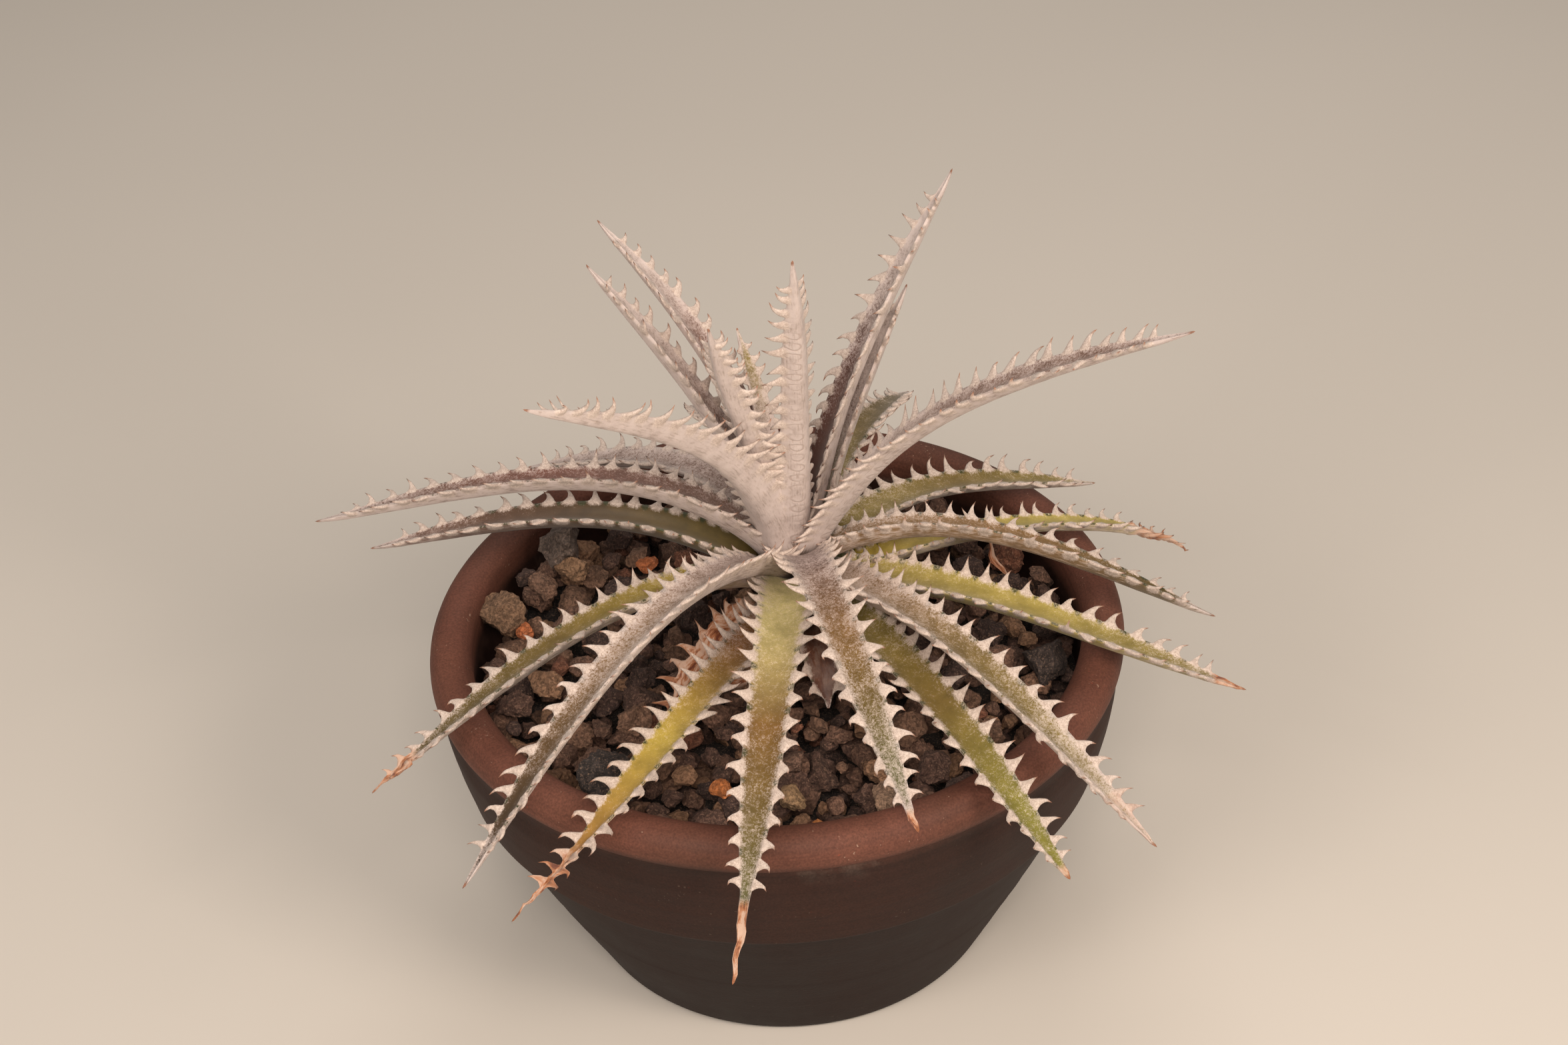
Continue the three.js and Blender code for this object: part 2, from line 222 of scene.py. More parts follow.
def make_piece(name, points, faces, material, crease=pi, **marks):
    """A mesh object, smooth except where its faces meet at more than the crease angle. Marks are
    kept on its points for the material: three columns each, a number where all points share it."""
    mesh = bpy.data.meshes.new(name)
    mesh.from_pydata(np.asarray(points).tolist(), [], faces)
    solid = bmesh.new()
    solid.from_mesh(mesh)
    bmesh.ops.recalc_face_normals(solid, faces=solid.faces)
    for face in solid.faces:
        face.smooth = True
    for edge in solid.edges:
        edge.smooth = edge.calc_face_angle(0) < crease
    solid.to_mesh(mesh)
    solid.free()
    for mark, columns in marks.items():
        values = np.zeros((len(points), 3), np.float32)
        for axis, column in enumerate(columns):
            values[:, axis] = column
        mesh.attributes.new(mark, "FLOAT_VECTOR", "POINT").data.foreach_set("vector", values.ravel())
    mesh.materials.append(material)
    return put_in_scene(name, mesh)


def finish_piece(piece, slot, *nodes):
    """Fixes a piece to the one body, in place of its CAD nodes."""
    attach(piece, "root")
    if nodes:
        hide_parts(*nodes)


lip_middle = RIM_RADIUS - LIP_RADIUS
lip = [
    (lip_middle + LIP_RADIUS * cos(radians(a)), LIP_HEIGHT + LIP_RADIUS * sin(radians(a)))
    for a in range(-44, 172, 12)
]
outside = fillet(
    [
        (0, 0),
        (FOOT_RADIUS - 1.5 * MM, 0),
        (FOOT_RADIUS, 1.5 * MM),
        (57.2 * MM, 24.5 * MM),
        (LEDGE_RADIUS - LEDGE_STEP, LEDGE_HEIGHT - 0.8 * MM),
        (LEDGE_RADIUS, LEDGE_HEIGHT),
        (72.2 * MM, 58 * MM),
        (73.4 * MM, 65 * MM),
        (73.1 * MM, 71.4 * MM),
    ],
    0.9 * MM,
)
inside = fillet(
    [
        (65.8 * MM, 75 * MM),
        (65.7 * MM, 66 * MM),
        (LEDGE_RADIUS - WALL, LEDGE_HEIGHT),
        (57 * MM, 37 * MM),
        (45.5 * MM, 13 * MM),
        (39 * MM, POT_FLOOR),
        (0, POT_FLOOR),
    ],
    3 * MM,
)
points, faces = lathe(resample(outside + lip + inside, 2.5 * MM), POT_SIDES)

# The wheel's drag shows as bands round the wall, 2 to 8 mm apart.
for i, (x, y, z) in enumerate(points):
    if hypot(x, y) > FOOT_RADIUS * 0.9:
        bands = noise.noise((x * 9, y * 9, z * 420)) + 0.6 * noise.noise((x * 4, y * 4, z * 120))
        points[i][:2] *= 1 + THROWING * bands / hypot(x, y)

# Biscuit-fired clay: open, dry and brown, with throwing lines, pale mineral specks, brick-red
# grains and a bloom of lime where water has dried in the crease under the lip. A pattern's scale
# is written as how many of its grains go into a millimetre.
clay, tree, place = new_material("brown biscuit-fired clay")
patches = add(tree, "TexNoise", {"Vector": place, "Scale": 0.028 / MM, "Detail": 5.0, "Roughness": 0.6})
fired = add(tree, "ValToRGB", {"Fac": patches}, stops=[(0.3, "#58372b"), (0.5, "#674034"), (0.72, "#764c3d")])
round_wall = add(tree, "Mapping", {"Vector": place, "Scale": (0.006 / MM, 0.006 / MM, 0.9 / MM)})
lines = add(tree, "TexNoise", {"Vector": round_wall, "Scale": 1.0, "Detail": 4.0, "Roughness": 0.7})
line_tone = add(tree, "MapRange", {"Value": lines, "From": (0.3, 0.7), "To": (0.84, 1.1)})
lined = add(tree, "Mix", {"Factor": 1.0, "A": fired, "B": line_tone}, data_type="RGBA", blend_type="MULTIPLY")
grains = add(tree, "TexNoise", {"Vector": place, "Scale": 1.5 / MM, "Detail": 1.0})
strewn = add(tree, "TexNoise", {"Vector": place, "Scale": 0.12 / MM, "Detail": 2.0})
specks = add(tree, "Math", {0: strewn, 1: 0.5, 2: grains}, operation="MULTIPLY_ADD")
speck = add(tree, "MapRange", {"Value": specks, "From": (1.02, 1.08), "To": (0.0, 0.75)})
specked = add(tree, "Mix", {"Factor": speck, "A": lined, "B": linear("#a58a78")}, data_type="RGBA")
elsewhere = add(tree, "Mapping", {"Vector": place, "Location": (0.31, 0.17, 0.05)})
red_grains = add(tree, "TexNoise", {"Vector": elsewhere, "Scale": 0.62 / MM, "Detail": 2.0})
red = add(tree, "MapRange", {"Value": red_grains, "From": (0.73, 0.77), "To": (0.0, 0.7)})
reddened = add(tree, "Mix", {"Factor": red, "A": specked, "B": linear("#8a4634")}, data_type="RGBA")
height = add(tree, "SeparateXYZ", {"Vector": place}).outputs["Z"]
in_crease = add(tree, "MapRange", {"Value": height, "From": (66.5 * MM, 70.5 * MM)})
under_lip = add(tree, "MapRange", {"Value": height, "From": (71.2 * MM, 72.2 * MM), "To": (1.0, 0.0)})
lime_patch = add(tree, "TexNoise", {"Vector": place, "Scale": 0.042 / MM, "Detail": 6.0, "Roughness": 0.7})
lime_here = add(tree, "MapRange", {"Value": lime_patch, "From": (0.55, 0.72), "To": (0.0, 0.75)})
lime_band = add(tree, "Math", {0: in_crease, 1: under_lip}, operation="MULTIPLY")
lime = add(tree, "Math", {0: lime_band, 1: lime_here}, operation="MULTIPLY")
bloomed = add(tree, "Mix", {"Factor": lime, "A": reddened, "B": linear("#a89184")}, data_type="RGBA")

# The lip is lighter, partly worn and partly painted light. The collar is darker and the bowl below the ledge
# darkest, partly the clay's own tone and partly painted shade.
wander = add(tree, "TexNoise", {"Vector": place, "Scale": 0.016 / MM, "Detail": 3.0})
level = add(tree, "Math", {0: wander, 1: 6.0 * MM, 2: height}, operation="MULTIPLY_ADD")
# Lighter towards the lip: wear and painted light.
lip_wear_and_painted_light = add(tree, "MapRange", {"Value": level, "From": (73.0 * MM, 77.0 * MM)})
# Painted shade: the collar darker, the bowl below the ledge darker still.
wall_tone_and_painted_shade = add(tree, "MapRange", {"Value": height, "From": (47.5 * MM, 49.2 * MM), "To": (0.11, 0.21)})
# The tone runs from that painted shade up to 1 on the lip.
tone = add(tree, "MapRange", {"Value": lip_wear_and_painted_light, "To Min": wall_tone_and_painted_shade})
sand = add(tree, "TexNoise", {"Vector": place, "Scale": 2.1 / MM, "Detail": 2.0})
sand_tone = add(tree, "MapRange", {"Value": sand, "From": (0.3, 0.7), "To": (0.78, 1.22)})
sandy_and_shaded = add(tree, "Math", {0: tone, 1: sand_tone}, operation="MULTIPLY")
aged_and_shaded = add(tree, "Mix", {"Factor": 1.0, "A": bloomed, "B": sandy_and_shaded}, data_type="RGBA", blend_type="MULTIPLY")
pores = add(tree, "TexNoise", {"Vector": place, "Scale": 1.4 / MM, "Detail": 3.0})
relief = add(tree, "Math", {0: lines, 1: 0.7, 2: pores}, operation="MULTIPLY_ADD")
rough = add(tree, "Bump", {"Height": relief, "Strength": 0.35, "Distance": 0.12 * MM})
dull = add(tree, "MapRange", {"Value": patches, "From": (0.3, 0.7), "To": (0.62, 0.8)})
surface = add(
    tree,
    "BsdfPrincipled",
    {"Base Color": aged_and_shaded, "Roughness": dull, "IOR": 1.5, "Specular IOR Level": 0.3, "Normal": rough},
)
add(tree, "OutputMaterial", {"Surface": surface})

pot = make_piece("clay_pot", points, faces, clay)
finish_piece(pot, "pot", "pot")

# The drain holes are cut while the clay is leather-hard.
for hole in range(DRAIN_HOLES):
    drill = put_in_scene("drill", bpy.data.meshes.new("drill"))
    bit = bmesh.new()
    bmesh.ops.create_cone(
        bit, cap_ends=True, segments=32, radius1=DRAIN_RADIUS, radius2=DRAIN_RADIUS, depth=3 * POT_FLOOR
    )
    bit.to_mesh(drill.data)
    bit.free()
    angle = hole * 2 * pi / DRAIN_HOLES
    drill.location = (DRAIN_CIRCLE * cos(angle), DRAIN_CIRCLE * sin(angle), 0)
    cut = pot.modifiers.new("drain hole", "BOOLEAN")
    cut.operation = "DIFFERENCE"
    cut.object = drill
    bpy.context.view_layer.objects.active = pot
    bpy.context.view_layer.update()
    bpy.ops.object.modifier_apply(modifier=cut.name)
    bpy.data.objects.remove(drill)

# ---- Grit -----------------------------------------------------------------------------------
# Pumice and lava grit of 3 to 12 mm, poured round the plant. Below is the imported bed; on it lie
# the stones that show, each of which has dropped into the lowest of a few places.

STEM_X = 5.0 * MM
STEM_RADIUS = 8.0 * MM
GRIT_EDGE = 65.2 * MM
GRIT_GAP = 0.3 * MM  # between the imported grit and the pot
BED_HEIGHT = 60.5 * MM
CELL = 0.5 * MM  # of the grid that keeps the bed's height
STONES = 1080
HALF_WIDTHS = (1.2, 4.6)  # mm, the smallest and the largest
SIZE_SPREAD = (0.85, 0.38)  # mean and deviation of the half width's logarithm: most are near 2.3 mm
FLATNESS = (0.6, 0.85)  # height over width
TRIES = 6
CLOSE = 0.9  # of its half width a stone keeps clear of the wall and of the stem
SINK = 0.28  # share of a stone's half height that it settles between those below
MARKED_SINK = 0.65  # the same for the stones that stand out
MARKED_FLATNESS = 0.75
SHOWS_FROM = 5  # cells of a stone that have to show from above, or it is left out
STONE_TINTS = [
    # share of the stones, colour
    (0.30, "#6b5043"),
    (0.24, "#5a433a"),
    (0.18, "#785b4a"),
    (0.12, "#483732"),
    (0.10, "#8c6b53"),
    (0.06, "#744b3a"),
]
# Stones that stand out in the bed: x and y and half width in mm, colour.
MARKED_STONES = [
    (-27.8, 30.5, 2.6, "#a8623c"),
    (-54.9, 10.5, 2.4, "#a8623c"),
    (-13.0, -52.3, 2.4, "#b06a3a"),
    (6.0, -61.8, 2.2, "#b0703f"),
    (13.1, -63.1, 3.0, "#b0703f"),
    (-59.6, 13.0, 6.1, "#745a46"),
    (-51.5, 22.2, 3.6, "#7a5d4d"),
    (-44.9, 26.5, 4.0, "#83664e"),
    (1.6, -40.8, 3.4, "#7b6052"),
    (1.5, -56.5, 2.9, "#a68765"),
    (20.4, -55.5, 4.0, "#7c6554"),
    (-35.5, -46.2, 6.2, "#3d3634"),
    (57.2, -13.4, 5.6, "#463c39"),
    (-46.3, 31.0, 6.6, "#6a5c54"),
]

random = np.random.default_rng(5)
across = np.arange(-GRIT_EDGE, GRIT_EDGE + CELL, CELL)
cell_x, cell_y = np.meshgrid(across, across, indexing="ij")
bed = np.full(cell_x.shape, BED_HEIGHT)
owner = np.full(cell_x.shape, -1)


def drop(x, y, radius, flat, sink=SINK):
    """Where a stone's middle comes to rest, the cells that it covers and its top over them."""
    low_i, high_i = np.searchsorted(across, (x - radius, x + radius))
    low_j, high_j = np.searchsorted(across, (y - radius, y + radius))
    patch = slice(low_i, high_i), slice(low_j, high_j)
    inside = radius**2 - (cell_x[patch] - x) ** 2 - (cell_y[patch] - y) ** 2
    dome = flat * np.sqrt(np.maximum(inside, 0))
    middle = (bed[patch] + dome)[inside > 0].max() - sink * flat * radius
    return middle, patch, np.where(inside > 0, middle + dome, 0)


stones = []
while len(stones) < STONES + len(MARKED_STONES):
    marked = len(stones) - STONES
    if marked >= 0:
        x, y, half, code = MARKED_STONES[marked]
        x, y, radius, flat = x * MM, y * MM, half * MM, MARKED_FLATNESS
        middle, patch, top = drop(x, y, radius, flat, MARKED_SINK)
    else:
        radius = float(np.clip(random.lognormal(*SIZE_SPREAD), *HALF_WIDTHS)) * MM
        flat = random.uniform(*FLATNESS)
        code = random.choice([c for _, c in STONE_TINTS], p=[share for share, _ in STONE_TINTS])
        places = []
        while len(places) < TRIES:
            x, y = random.uniform(-GRIT_EDGE, GRIT_EDGE, 2)
            clear_of_wall = hypot(x, y) + CLOSE * radius < GRIT_EDGE
            clear_of_stem = hypot(x - STEM_X, y) - CLOSE * radius > STEM_RADIUS
            if clear_of_wall and clear_of_stem:
                places.append((drop(x, y, radius, flat), x, y))
        (middle, patch, top), x, y = min(places, key=lambda rest: rest[0][0])
    owner[patch] = np.where(top > bed[patch], len(stones), owner[patch])
    bed[patch] = np.maximum(bed[patch], top)
    stones.append((x, y, middle, radius, flat, code))
numbers, cells = np.unique(owner, return_counts=True)
showing = sorted(set(numbers[cells > SHOWS_FROM]) - {-1})


def sphere(subdivisions):
    """Points and faces of a ball of radius 1."""
    ball = bmesh.new()
    bmesh.ops.create_icosphere(ball, subdivisions=subdivisions, radius=1)
    points = np.array([v.co for v in ball.verts])
    faces = np.array([[v.index for v in f.verts] for f in ball.faces])
    ball.free()
    return points, faces


FLATS = 13  # flat sides struck off a stone
STRUCK = (0.5, 0.92)  # how far from its middle, of its half width
CRUMBLE = [(1, 1.9), (0.9, 4.6), (0.6, 10)]  # lumps, dents and pits: height, number in a half width
CRUMBLE_DEPTH = 0.17  # of the half width
FULLNESS = 1.06  # makes up for what the flat sides took off
BREAK_ANGLE = radians(32)  # faces that meet at more show a sharp edge


def broken_stone(points):
    """A ball broken to flat sides with worn edges and a crumbled surface."""
    points = points.copy()
    for _ in range(FLATS):
        normal = random.normal(size=3)
        normal /= np.linalg.norm(normal)
        over = points @ normal - random.uniform(*STRUCK)
        points -= np.outer(0.96 * np.maximum(over, 0), normal)
    shift = random.uniform(-50, 50, 3)
    crumble = [sum(high * noise.noise(p * many + shift) for high, many in CRUMBLE) for p in points]
    return points * (FULLNESS + CRUMBLE_DEPTH * np.array(crumble))[:, None]


# Three grades, by the least half width in mm. The coarser two have the finer faces.
GRADES = {
    "coarse_stones": (4.0, sphere(4)),
    "middle_stones": (3.3, sphere(4)),
    "fine_stones": (0.0, sphere(3)),
}
sieve = {grade: ([], [], []) for grade in GRADES}
for number in showing:
    x, y, middle, radius, flat, code = stones[number]
    grade = next(grade for grade, (least, _) in GRADES.items() if radius > least * MM)
    ball, sides = GRADES[grade][1]
    # Most are longer than wide. They lie turned any way and tipped a little.
    size = radius * np.array([random.uniform(0.95, 1.2), random.uniform(0.8, 1.0), flat])
    turn = Matrix.Rotation(random.uniform(0, 2 * pi), 3, "Z")
    turn = turn @ Matrix.Rotation(random.uniform(-0.5, 0.5), 3, "X")
    stone = (broken_stone(ball) * size) @ np.array(turn).T + (x, y, middle)
    points, faces, tints = sieve[grade]
    faces += (sides + sum(len(p) for p in points)).tolist()
    points.append(stone)
    tone = np.array(linear(code)[:3]) * random.uniform(0.8, 1.2)
    tints.append(np.tile(tone, (len(stone), 1)))

# Pumice and lava: matte and porous, with pits of half a millimetre and paler dust on its humps.
pumice, tree, place = new_material("porous lava and pumice grit")
tint = add(tree, "Attribute", attribute_name="tint").outputs["Vector"]
mottle = add(tree, "TexNoise", {"Vector": place, "Scale": 0.42 / MM, "Detail": 5.0, "Roughness": 0.65})
cloud = add(tree, "MapRange", {"Value": mottle, "From": (0.3, 0.7), "To": (0.75, 1.5)})
mottled = add(tree, "Mix", {"Factor": 1.0, "A": tint, "B": cloud}, data_type="RGBA", blend_type="MULTIPLY")
pits = add(tree, "TexNoise", {"Vector": place, "Scale": 1.3 / MM, "Detail": 4.0, "Roughness": 0.7})
pit = add(tree, "MapRange", {"Value": pits, "From": (0.35, 0.52), "To": (0.62, 1.0)})
pitted = add(tree, "Mix", {"Factor": 1.0, "A": mottled, "B": pit}, data_type="RGBA", blend_type="MULTIPLY")
dust = add(tree, "TexNoise", {"Vector": place, "Scale": 2.6 / MM, "Detail": 2.0})
dusty = add(tree, "MapRange", {"Value": dust, "From": (0.55, 0.75), "To": (0.0, 0.4)})
dusted = add(tree, "Mix", {"Factor": dusty, "A": pitted, "B": linear("#ab8b74")}, data_type="RGBA")
relief = add(tree, "Math", {0: mottle, 1: 1.6, 2: pit}, operation="MULTIPLY_ADD")
rough = add(tree, "Bump", {"Height": relief, "Strength": 1.0, "Distance": 0.55 * MM})
surface = add(tree, "BsdfPrincipled", {"Base Color": dusted, "Roughness": 0.95, "IOR": 1.5, "Normal": rough})
add(tree, "OutputMaterial", {"Surface": surface})

points, faces = lathe(
    resample(
        [
            (0, POT_FLOOR + GRIT_GAP),
            (38.5 * MM, POT_FLOOR + GRIT_GAP),
            (45 * MM, 13.4 * MM),
            (56.4 * MM, 37.2 * MM),
            (LEDGE_RADIUS - WALL - 2 * GRIT_GAP, LEDGE_HEIGHT),
            (65 * MM, BED_HEIGHT),
            (0, BED_HEIGHT + 0.5 * MM),
        ],
        4 * MM,
    ),
    90,
)
# The bed shows only in the gaps between the stones. Its tint, darker than any stone's, is painted shade.
grit = make_piece("packed_grit", points, faces, pumice, tint=linear("#2c2624")[:3])
finish_piece(grit, "grit", "grit")
for grade, (points, faces, tints) in sieve.items():
    loose = make_piece(grade, np.vstack(points), faces, pumice, BREAK_ANGLE, tint=np.vstack(tints).T)
    finish_piece(loose, "grit", "grit")

# ---- Stem -----------------------------------------------------------------------------------
# A short woody stem, rooted in the grit, that carries all the leaves. Each leaf that it has lost
# has left a ragged scar, so that it is ringed with them from the grit to the lowest leaf.

STEM_BOTTOM = 44.0 * MM
STEM_SHOULDER = 87.0 * MM
STEM_TOP = 101.0 * MM
STEM_TIP_RADIUS = 2.8 * MM
SCAR_SPACING = 3.4 * MM
SCAR_DEPTH = 0.9 * MM
BARK_DEPTH = 0.35 * MM
BURIED_TO = 60.0 * MM

outline = resample(
    [
        (0, STEM_BOTTOM),
        (STEM_RADIUS, STEM_BOTTOM),
        (STEM_RADIUS, STEM_SHOULDER),
        (STEM_TIP_RADIUS, STEM_TOP - 0.8 * MM),
        (0, STEM_TOP),
    ],
    0.5 * MM,
)
points, faces = lathe(outline, 96)
for i, (x, y, z) in enumerate(points):
    radius = hypot(x, y)
    if radius > 2 * MM and z > BURIED_TO:
        ragged = noise.noise((x * 260, y * 260, z * 90))
        scar = (z / SCAR_SPACING + 0.7 * ragged) % 1
        cork = noise.noise((x * 1500, y * 1500, z * 500))
        points[i][:2] *= 1 - (SCAR_DEPTH * scar + BARK_DEPTH * cork) / radius
points[:, 0] += STEM_X

# Corky bark: brown and dull, split lengthwise into fibres of 1 mm.
bark, tree, place = new_material("corky stem bark")
drawn_out = add(tree, "Mapping", {"Vector": place, "Scale": (1.0, 1.0, 0.25)})
fibres = add(tree, "TexNoise", {"Vector": drawn_out, "Scale": 0.9 / MM, "Detail": 4.0, "Roughness": 0.7})
brown = add(tree, "ValToRGB", {"Fac": fibres}, stops=[(0.3, "#2e211a"), (0.5, "#5d4232"), (0.72, "#8a6547")])
rough = add(tree, "Bump", {"Height": fibres, "Strength": 0.7, "Distance": 0.3 * MM})
surface = add(tree, "BsdfPrincipled", {"Base Color": brown, "Roughness": 0.9, "Normal": rough})
add(tree, "OutputMaterial", {"Surface": surface})

stem = make_piece("bark_stem", points, faces, bark)
finish_piece(stem, "stem", "stem")

# ---- Leaves ---------------------------------------------------------------------------------
# Thick stiff blades, channelled above and keeled below, each ending in a needle. Both edges carry
# hooked claws that grow out of the blade in one piece with it. Scales like felt cover the skin.

# Each leaf leaves the stem at its heading (degrees, 0 = +X, 90 = +Y) and at its foot's height in
# mm. It climbs at the angle rise, bends over to the angle fall, the sooner the larger bend is,
# and its heading turns on the way. Length and width are in mm. Roll tips the blade about its own
# length. Needle is the share of the length taken by the bare needle tip. Tone is "dry" on a dried
# sheath; on the others it names a slot, which is not used. Claw is the size of its teeth beside the
# usual, and hook how many degrees further than usual they curl to the tip.
Leaf = namedtuple("Leaf", "name heading turn foot rise fall bend length width roll needle tone claw hook")
LEAVES = [
    Leaf("heart_small", 122, 2, 101, 88, 63, 1.6, 46, 6, 0, 0.07, "tan", 0.8, 0),
    Leaf("heart_left", 233, 27, 101, 77, 60, 1.8, 81, 8, -8, 0.07, "chalk", 1, 0),
    Leaf("heart_front", 280, -10, 101, 79, 69, 1.6, 90, 9, 28, 0.07, "chalk", 1, -110),
    Leaf("upright_right", 33, 3, 100, 82, 49, 1.9, 85, 9, -18, 0.07, "mauve", 1.1, -130),
    Leaf("upright_back", 140, 5, 100, 88, 37, 1.6, 80, 9, 15, 0.07, "mauve", 1, 35),
    Leaf("upright_left", 159, -1, 99, 77, 47, 1.6, 74, 9, 16, 0.07, "mauve", 1, 35),
    Leaf("rising_right", 329, 5, 98.5, 70, 25, 1.7, 116, 10, 4, 0.07, "chalk", 1.15, 0),
    Leaf("rising_left", 232, -7, 98, 82, 32, 2.2, 106, 11, 25, 0.07, "chalk", 1.25, -60),
    Leaf("front_topmost", 277, 16, 98, 45, -40, 1.7, 88, 11, 0, 0.07, "mauve", 1, 0),
    Leaf("upright_far", 36, -1, 97, 73, 54, 1.4, 60, 8, -12, 0.07, "tan", 0.9, 0),
    Leaf("left_upper", 179, -7, 96.5, 62, -17, 2.4, 106, 11, 14, 0.07, "mauve", 0.95, 0),
    Leaf("right_upper", 352, -1, 96, 43, -28, 2.7, 91, 10, -20, 0.07, "mauve", 1, 0),
    Leaf("front_left", 237, -12, 95.5, 48, -38, 1.7, 117, 11, 16, 0.07, "tan", 1.1, 15),
    Leaf("back_far_left", 110, -3, 95, 42, -27, 1.8, 67, 9, 0, 0.07, "tan", 1, 0),
    Leaf("back_far_right", 65, 2, 95, 38, -25, 1.7, 68, 9, 0, 0.07, "green", 1, 0),
    Leaf("front_right", 309, 5, 94, 26, -29, 2, 103, 11, -12, 0.07, "tan", 1, -20),
    Leaf("front", 264, -8, 93.5, 36, -34, 2.5, 107, 12.5, 0, 0.17, "green", 0.85, 0),
    Leaf("back_right", 33, -9, 92.5, 37, -23, 2.9, 76, 10, 0, 0.07, "green", 1, 0),
    Leaf("back_left", 118, 41, 92.5, 37, -21, 2.9, 81, 10, 0, 0.07, "mauve", 1, 0),
    Leaf("left_lower", 173, -3, 91.5, 44, -19, 2, 91, 11, 6, 0.07, "green", 0.88, 0),
    Leaf("left_front", 202, 14, 91.5, 32, -22, 2.9, 100, 10, 10, 0.12, "green", 0.95, 0),
    Leaf("right", 338, 9, 91.5, 19, -20, 2.9, 94, 11, -6, 0.07, "green", 0.95, 0),
    Leaf("right_behind", 1, 36, 90, 24, -46, 1.1, 95, 8, -8, 0.14, "yellow", 1, 0),
    Leaf("front_right_lower", 301, -1, 89.5, 17, -22, 2, 94, 11, 0, 0.04, "green", 0.95, -45),
    Leaf("dry_base_left", 212, 20, 84.5, 5, -50, 1.2, 34, 9, 0, 0.1, "dry", 0.9, 0),
    Leaf("dry_base_front", 285, -10, 84, -10, -60, 1.2, 20, 10, 0, 0.1, "dry", 0.7, 0),
    Leaf("front_left_oldest", 245, -20, 86.5, 18, -17, 2.2, 101, 10, 0, 0.2, "yellow", 1.3, 15),
]

# Width along the toothed part of the blade: share of its length, share of the width.
PROFILE = [(0, 1), (0.2, 0.9), (0.4, 0.75), (0.7, 0.64), (0.86, 0.45), (1, 0.16)]
CHANNEL = 0.32  # rise of the edges above the channel's floor, of the half width
KEEL = 0.52  # depth of the keel, of the half width
DRY_KEEL = 0.35  # what is left of it on a dry leaf
SKIN = 0.8 * MM  # added to the keel
EDGE = 0.36 * MM  # half thickness of the edges
THINNEST = 0.15  # of which so much is left at the needle's tip
FOOTING = 3.0  # mm of the foot that run back into the stem
FOOT_SPREAD = 0.33  # how much further from the axis a foot stands for each mm further down
FOOT_START = 3.3  # mm from the axis to the youngest leaf's foot

CLAW_STEPS = 12  # cross sections from one claw to the next
CLAW_HALF = 4  # of them, from a claw's middle to the end of its base
CLAWS_FROM = 0.04  # share of the length at the first claw
CLAWS_TO = {"front_left_oldest": 0.91, "left_front": 0.96, "right_behind": 0.95}  # on dried tips
CROWDING = ([0, 0.3, 0.75, 1], [0.65, 0.95, 1.15, 0.75])  # how close they stand along the blade
CLAW_SIZES = ([0, 0.12, 0.3, 0.8, 0.92, 1], [2.2, 3.6, 4.4, 4.2, 3.2, 1.4])  # along the blade, in mm
CLAW_START = ([0, 0.3, 0.5, 0.8, 1], [-12, -14, -8, 0, -5])  # how far a claw leans to the tip
CLAW_END = ([0, 0.3, 0.45, 0.6, 0.8, 1], [-30, 0, 45, 80, 90, 60])  # at its base and at its end
CLAW_LIFT = 36  # degrees out of the blade's plane, at the claw's end
UNEVEN_SIZE = (0.8, 1.15)
UNEVEN_START, UNEVEN_END, UNEVEN_LIFT = 8, 20, 10  # degrees
HOOKED = ([0, 0.25, 0.7, 0.9], [0, 1, 1, 0.3])  # where along the blade a leaf's own hook counts
STOUT, SLENDER = 0.75, 0.5  # how slowly a claw narrows from its base, on young and on older leaves
YOUNG = 98  # mm, the foot of a young leaf is above this
CLAW_FOOT = 0.25 * MM  # how much thicker the edge is under a claw's middle
ARC_STEPS = (np.arange(12) + 0.5) / 12

# A cross section runs over the top from the left edge, round the right edge and back below.
TOP_ACROSS = np.array([0.86, 0.6, 0.3, 0, -0.3, -0.6, -0.86])
RIM_OUT = np.array([0, 0.3, 0.6, 0.85, 1, 0.85, 0.6, 0.3, 0])
RIM_FACE = np.array([1, 1, 1, 1, 0, -1, -1, -1, -1])


def blade_axes(leaf, shares):
    """The blade's own axes at shares of its length: along it, across it to the left, and up."""
    bent = np.clip(1 - shares, 0, 1) ** leaf.bend
    climb = np.radians(leaf.fall + (leaf.rise - leaf.fall) * bent)
    course = np.radians(leaf.heading + leaf.turn * np.maximum(shares, 0))
    along = np.stack([np.cos(climb) * np.cos(course), np.cos(climb) * np.sin(course), np.sin(climb)], 1)
    level = np.stack([-np.sin(course), np.cos(course), 0 * course], 1)
    roll = radians(leaf.roll)
    side = level * cos(roll) + np.cross(along, level) * sin(roll)
    return along, side, np.cross(along, side)


def blade_middle(leaf, shares):
    """Points on the channel's floor at shares of the blade's length."""
    start = FOOT_START + (STEM_TOP / MM - leaf.foot) * FOOT_SPREAD
    heading = radians(leaf.heading)
    foot = (STEM_X / MM + start * cos(heading), start * sin(heading), leaf.foot)
    fine = np.linspace(-0.2, 1.05, 1251)
    steps = blade_axes(leaf, (fine[1:] + fine[:-1]) / 2)[0] * leaf.length * (fine[1] - fine[0])
    path = np.vstack([np.zeros(3), np.cumsum(steps, 0)])
    path -= [np.interp(0, fine, path[:, k]) for k in range(3)]
    return np.stack([np.interp(shares, fine, path[:, k]) + foot[k] for k in range(3)], 1) * MM


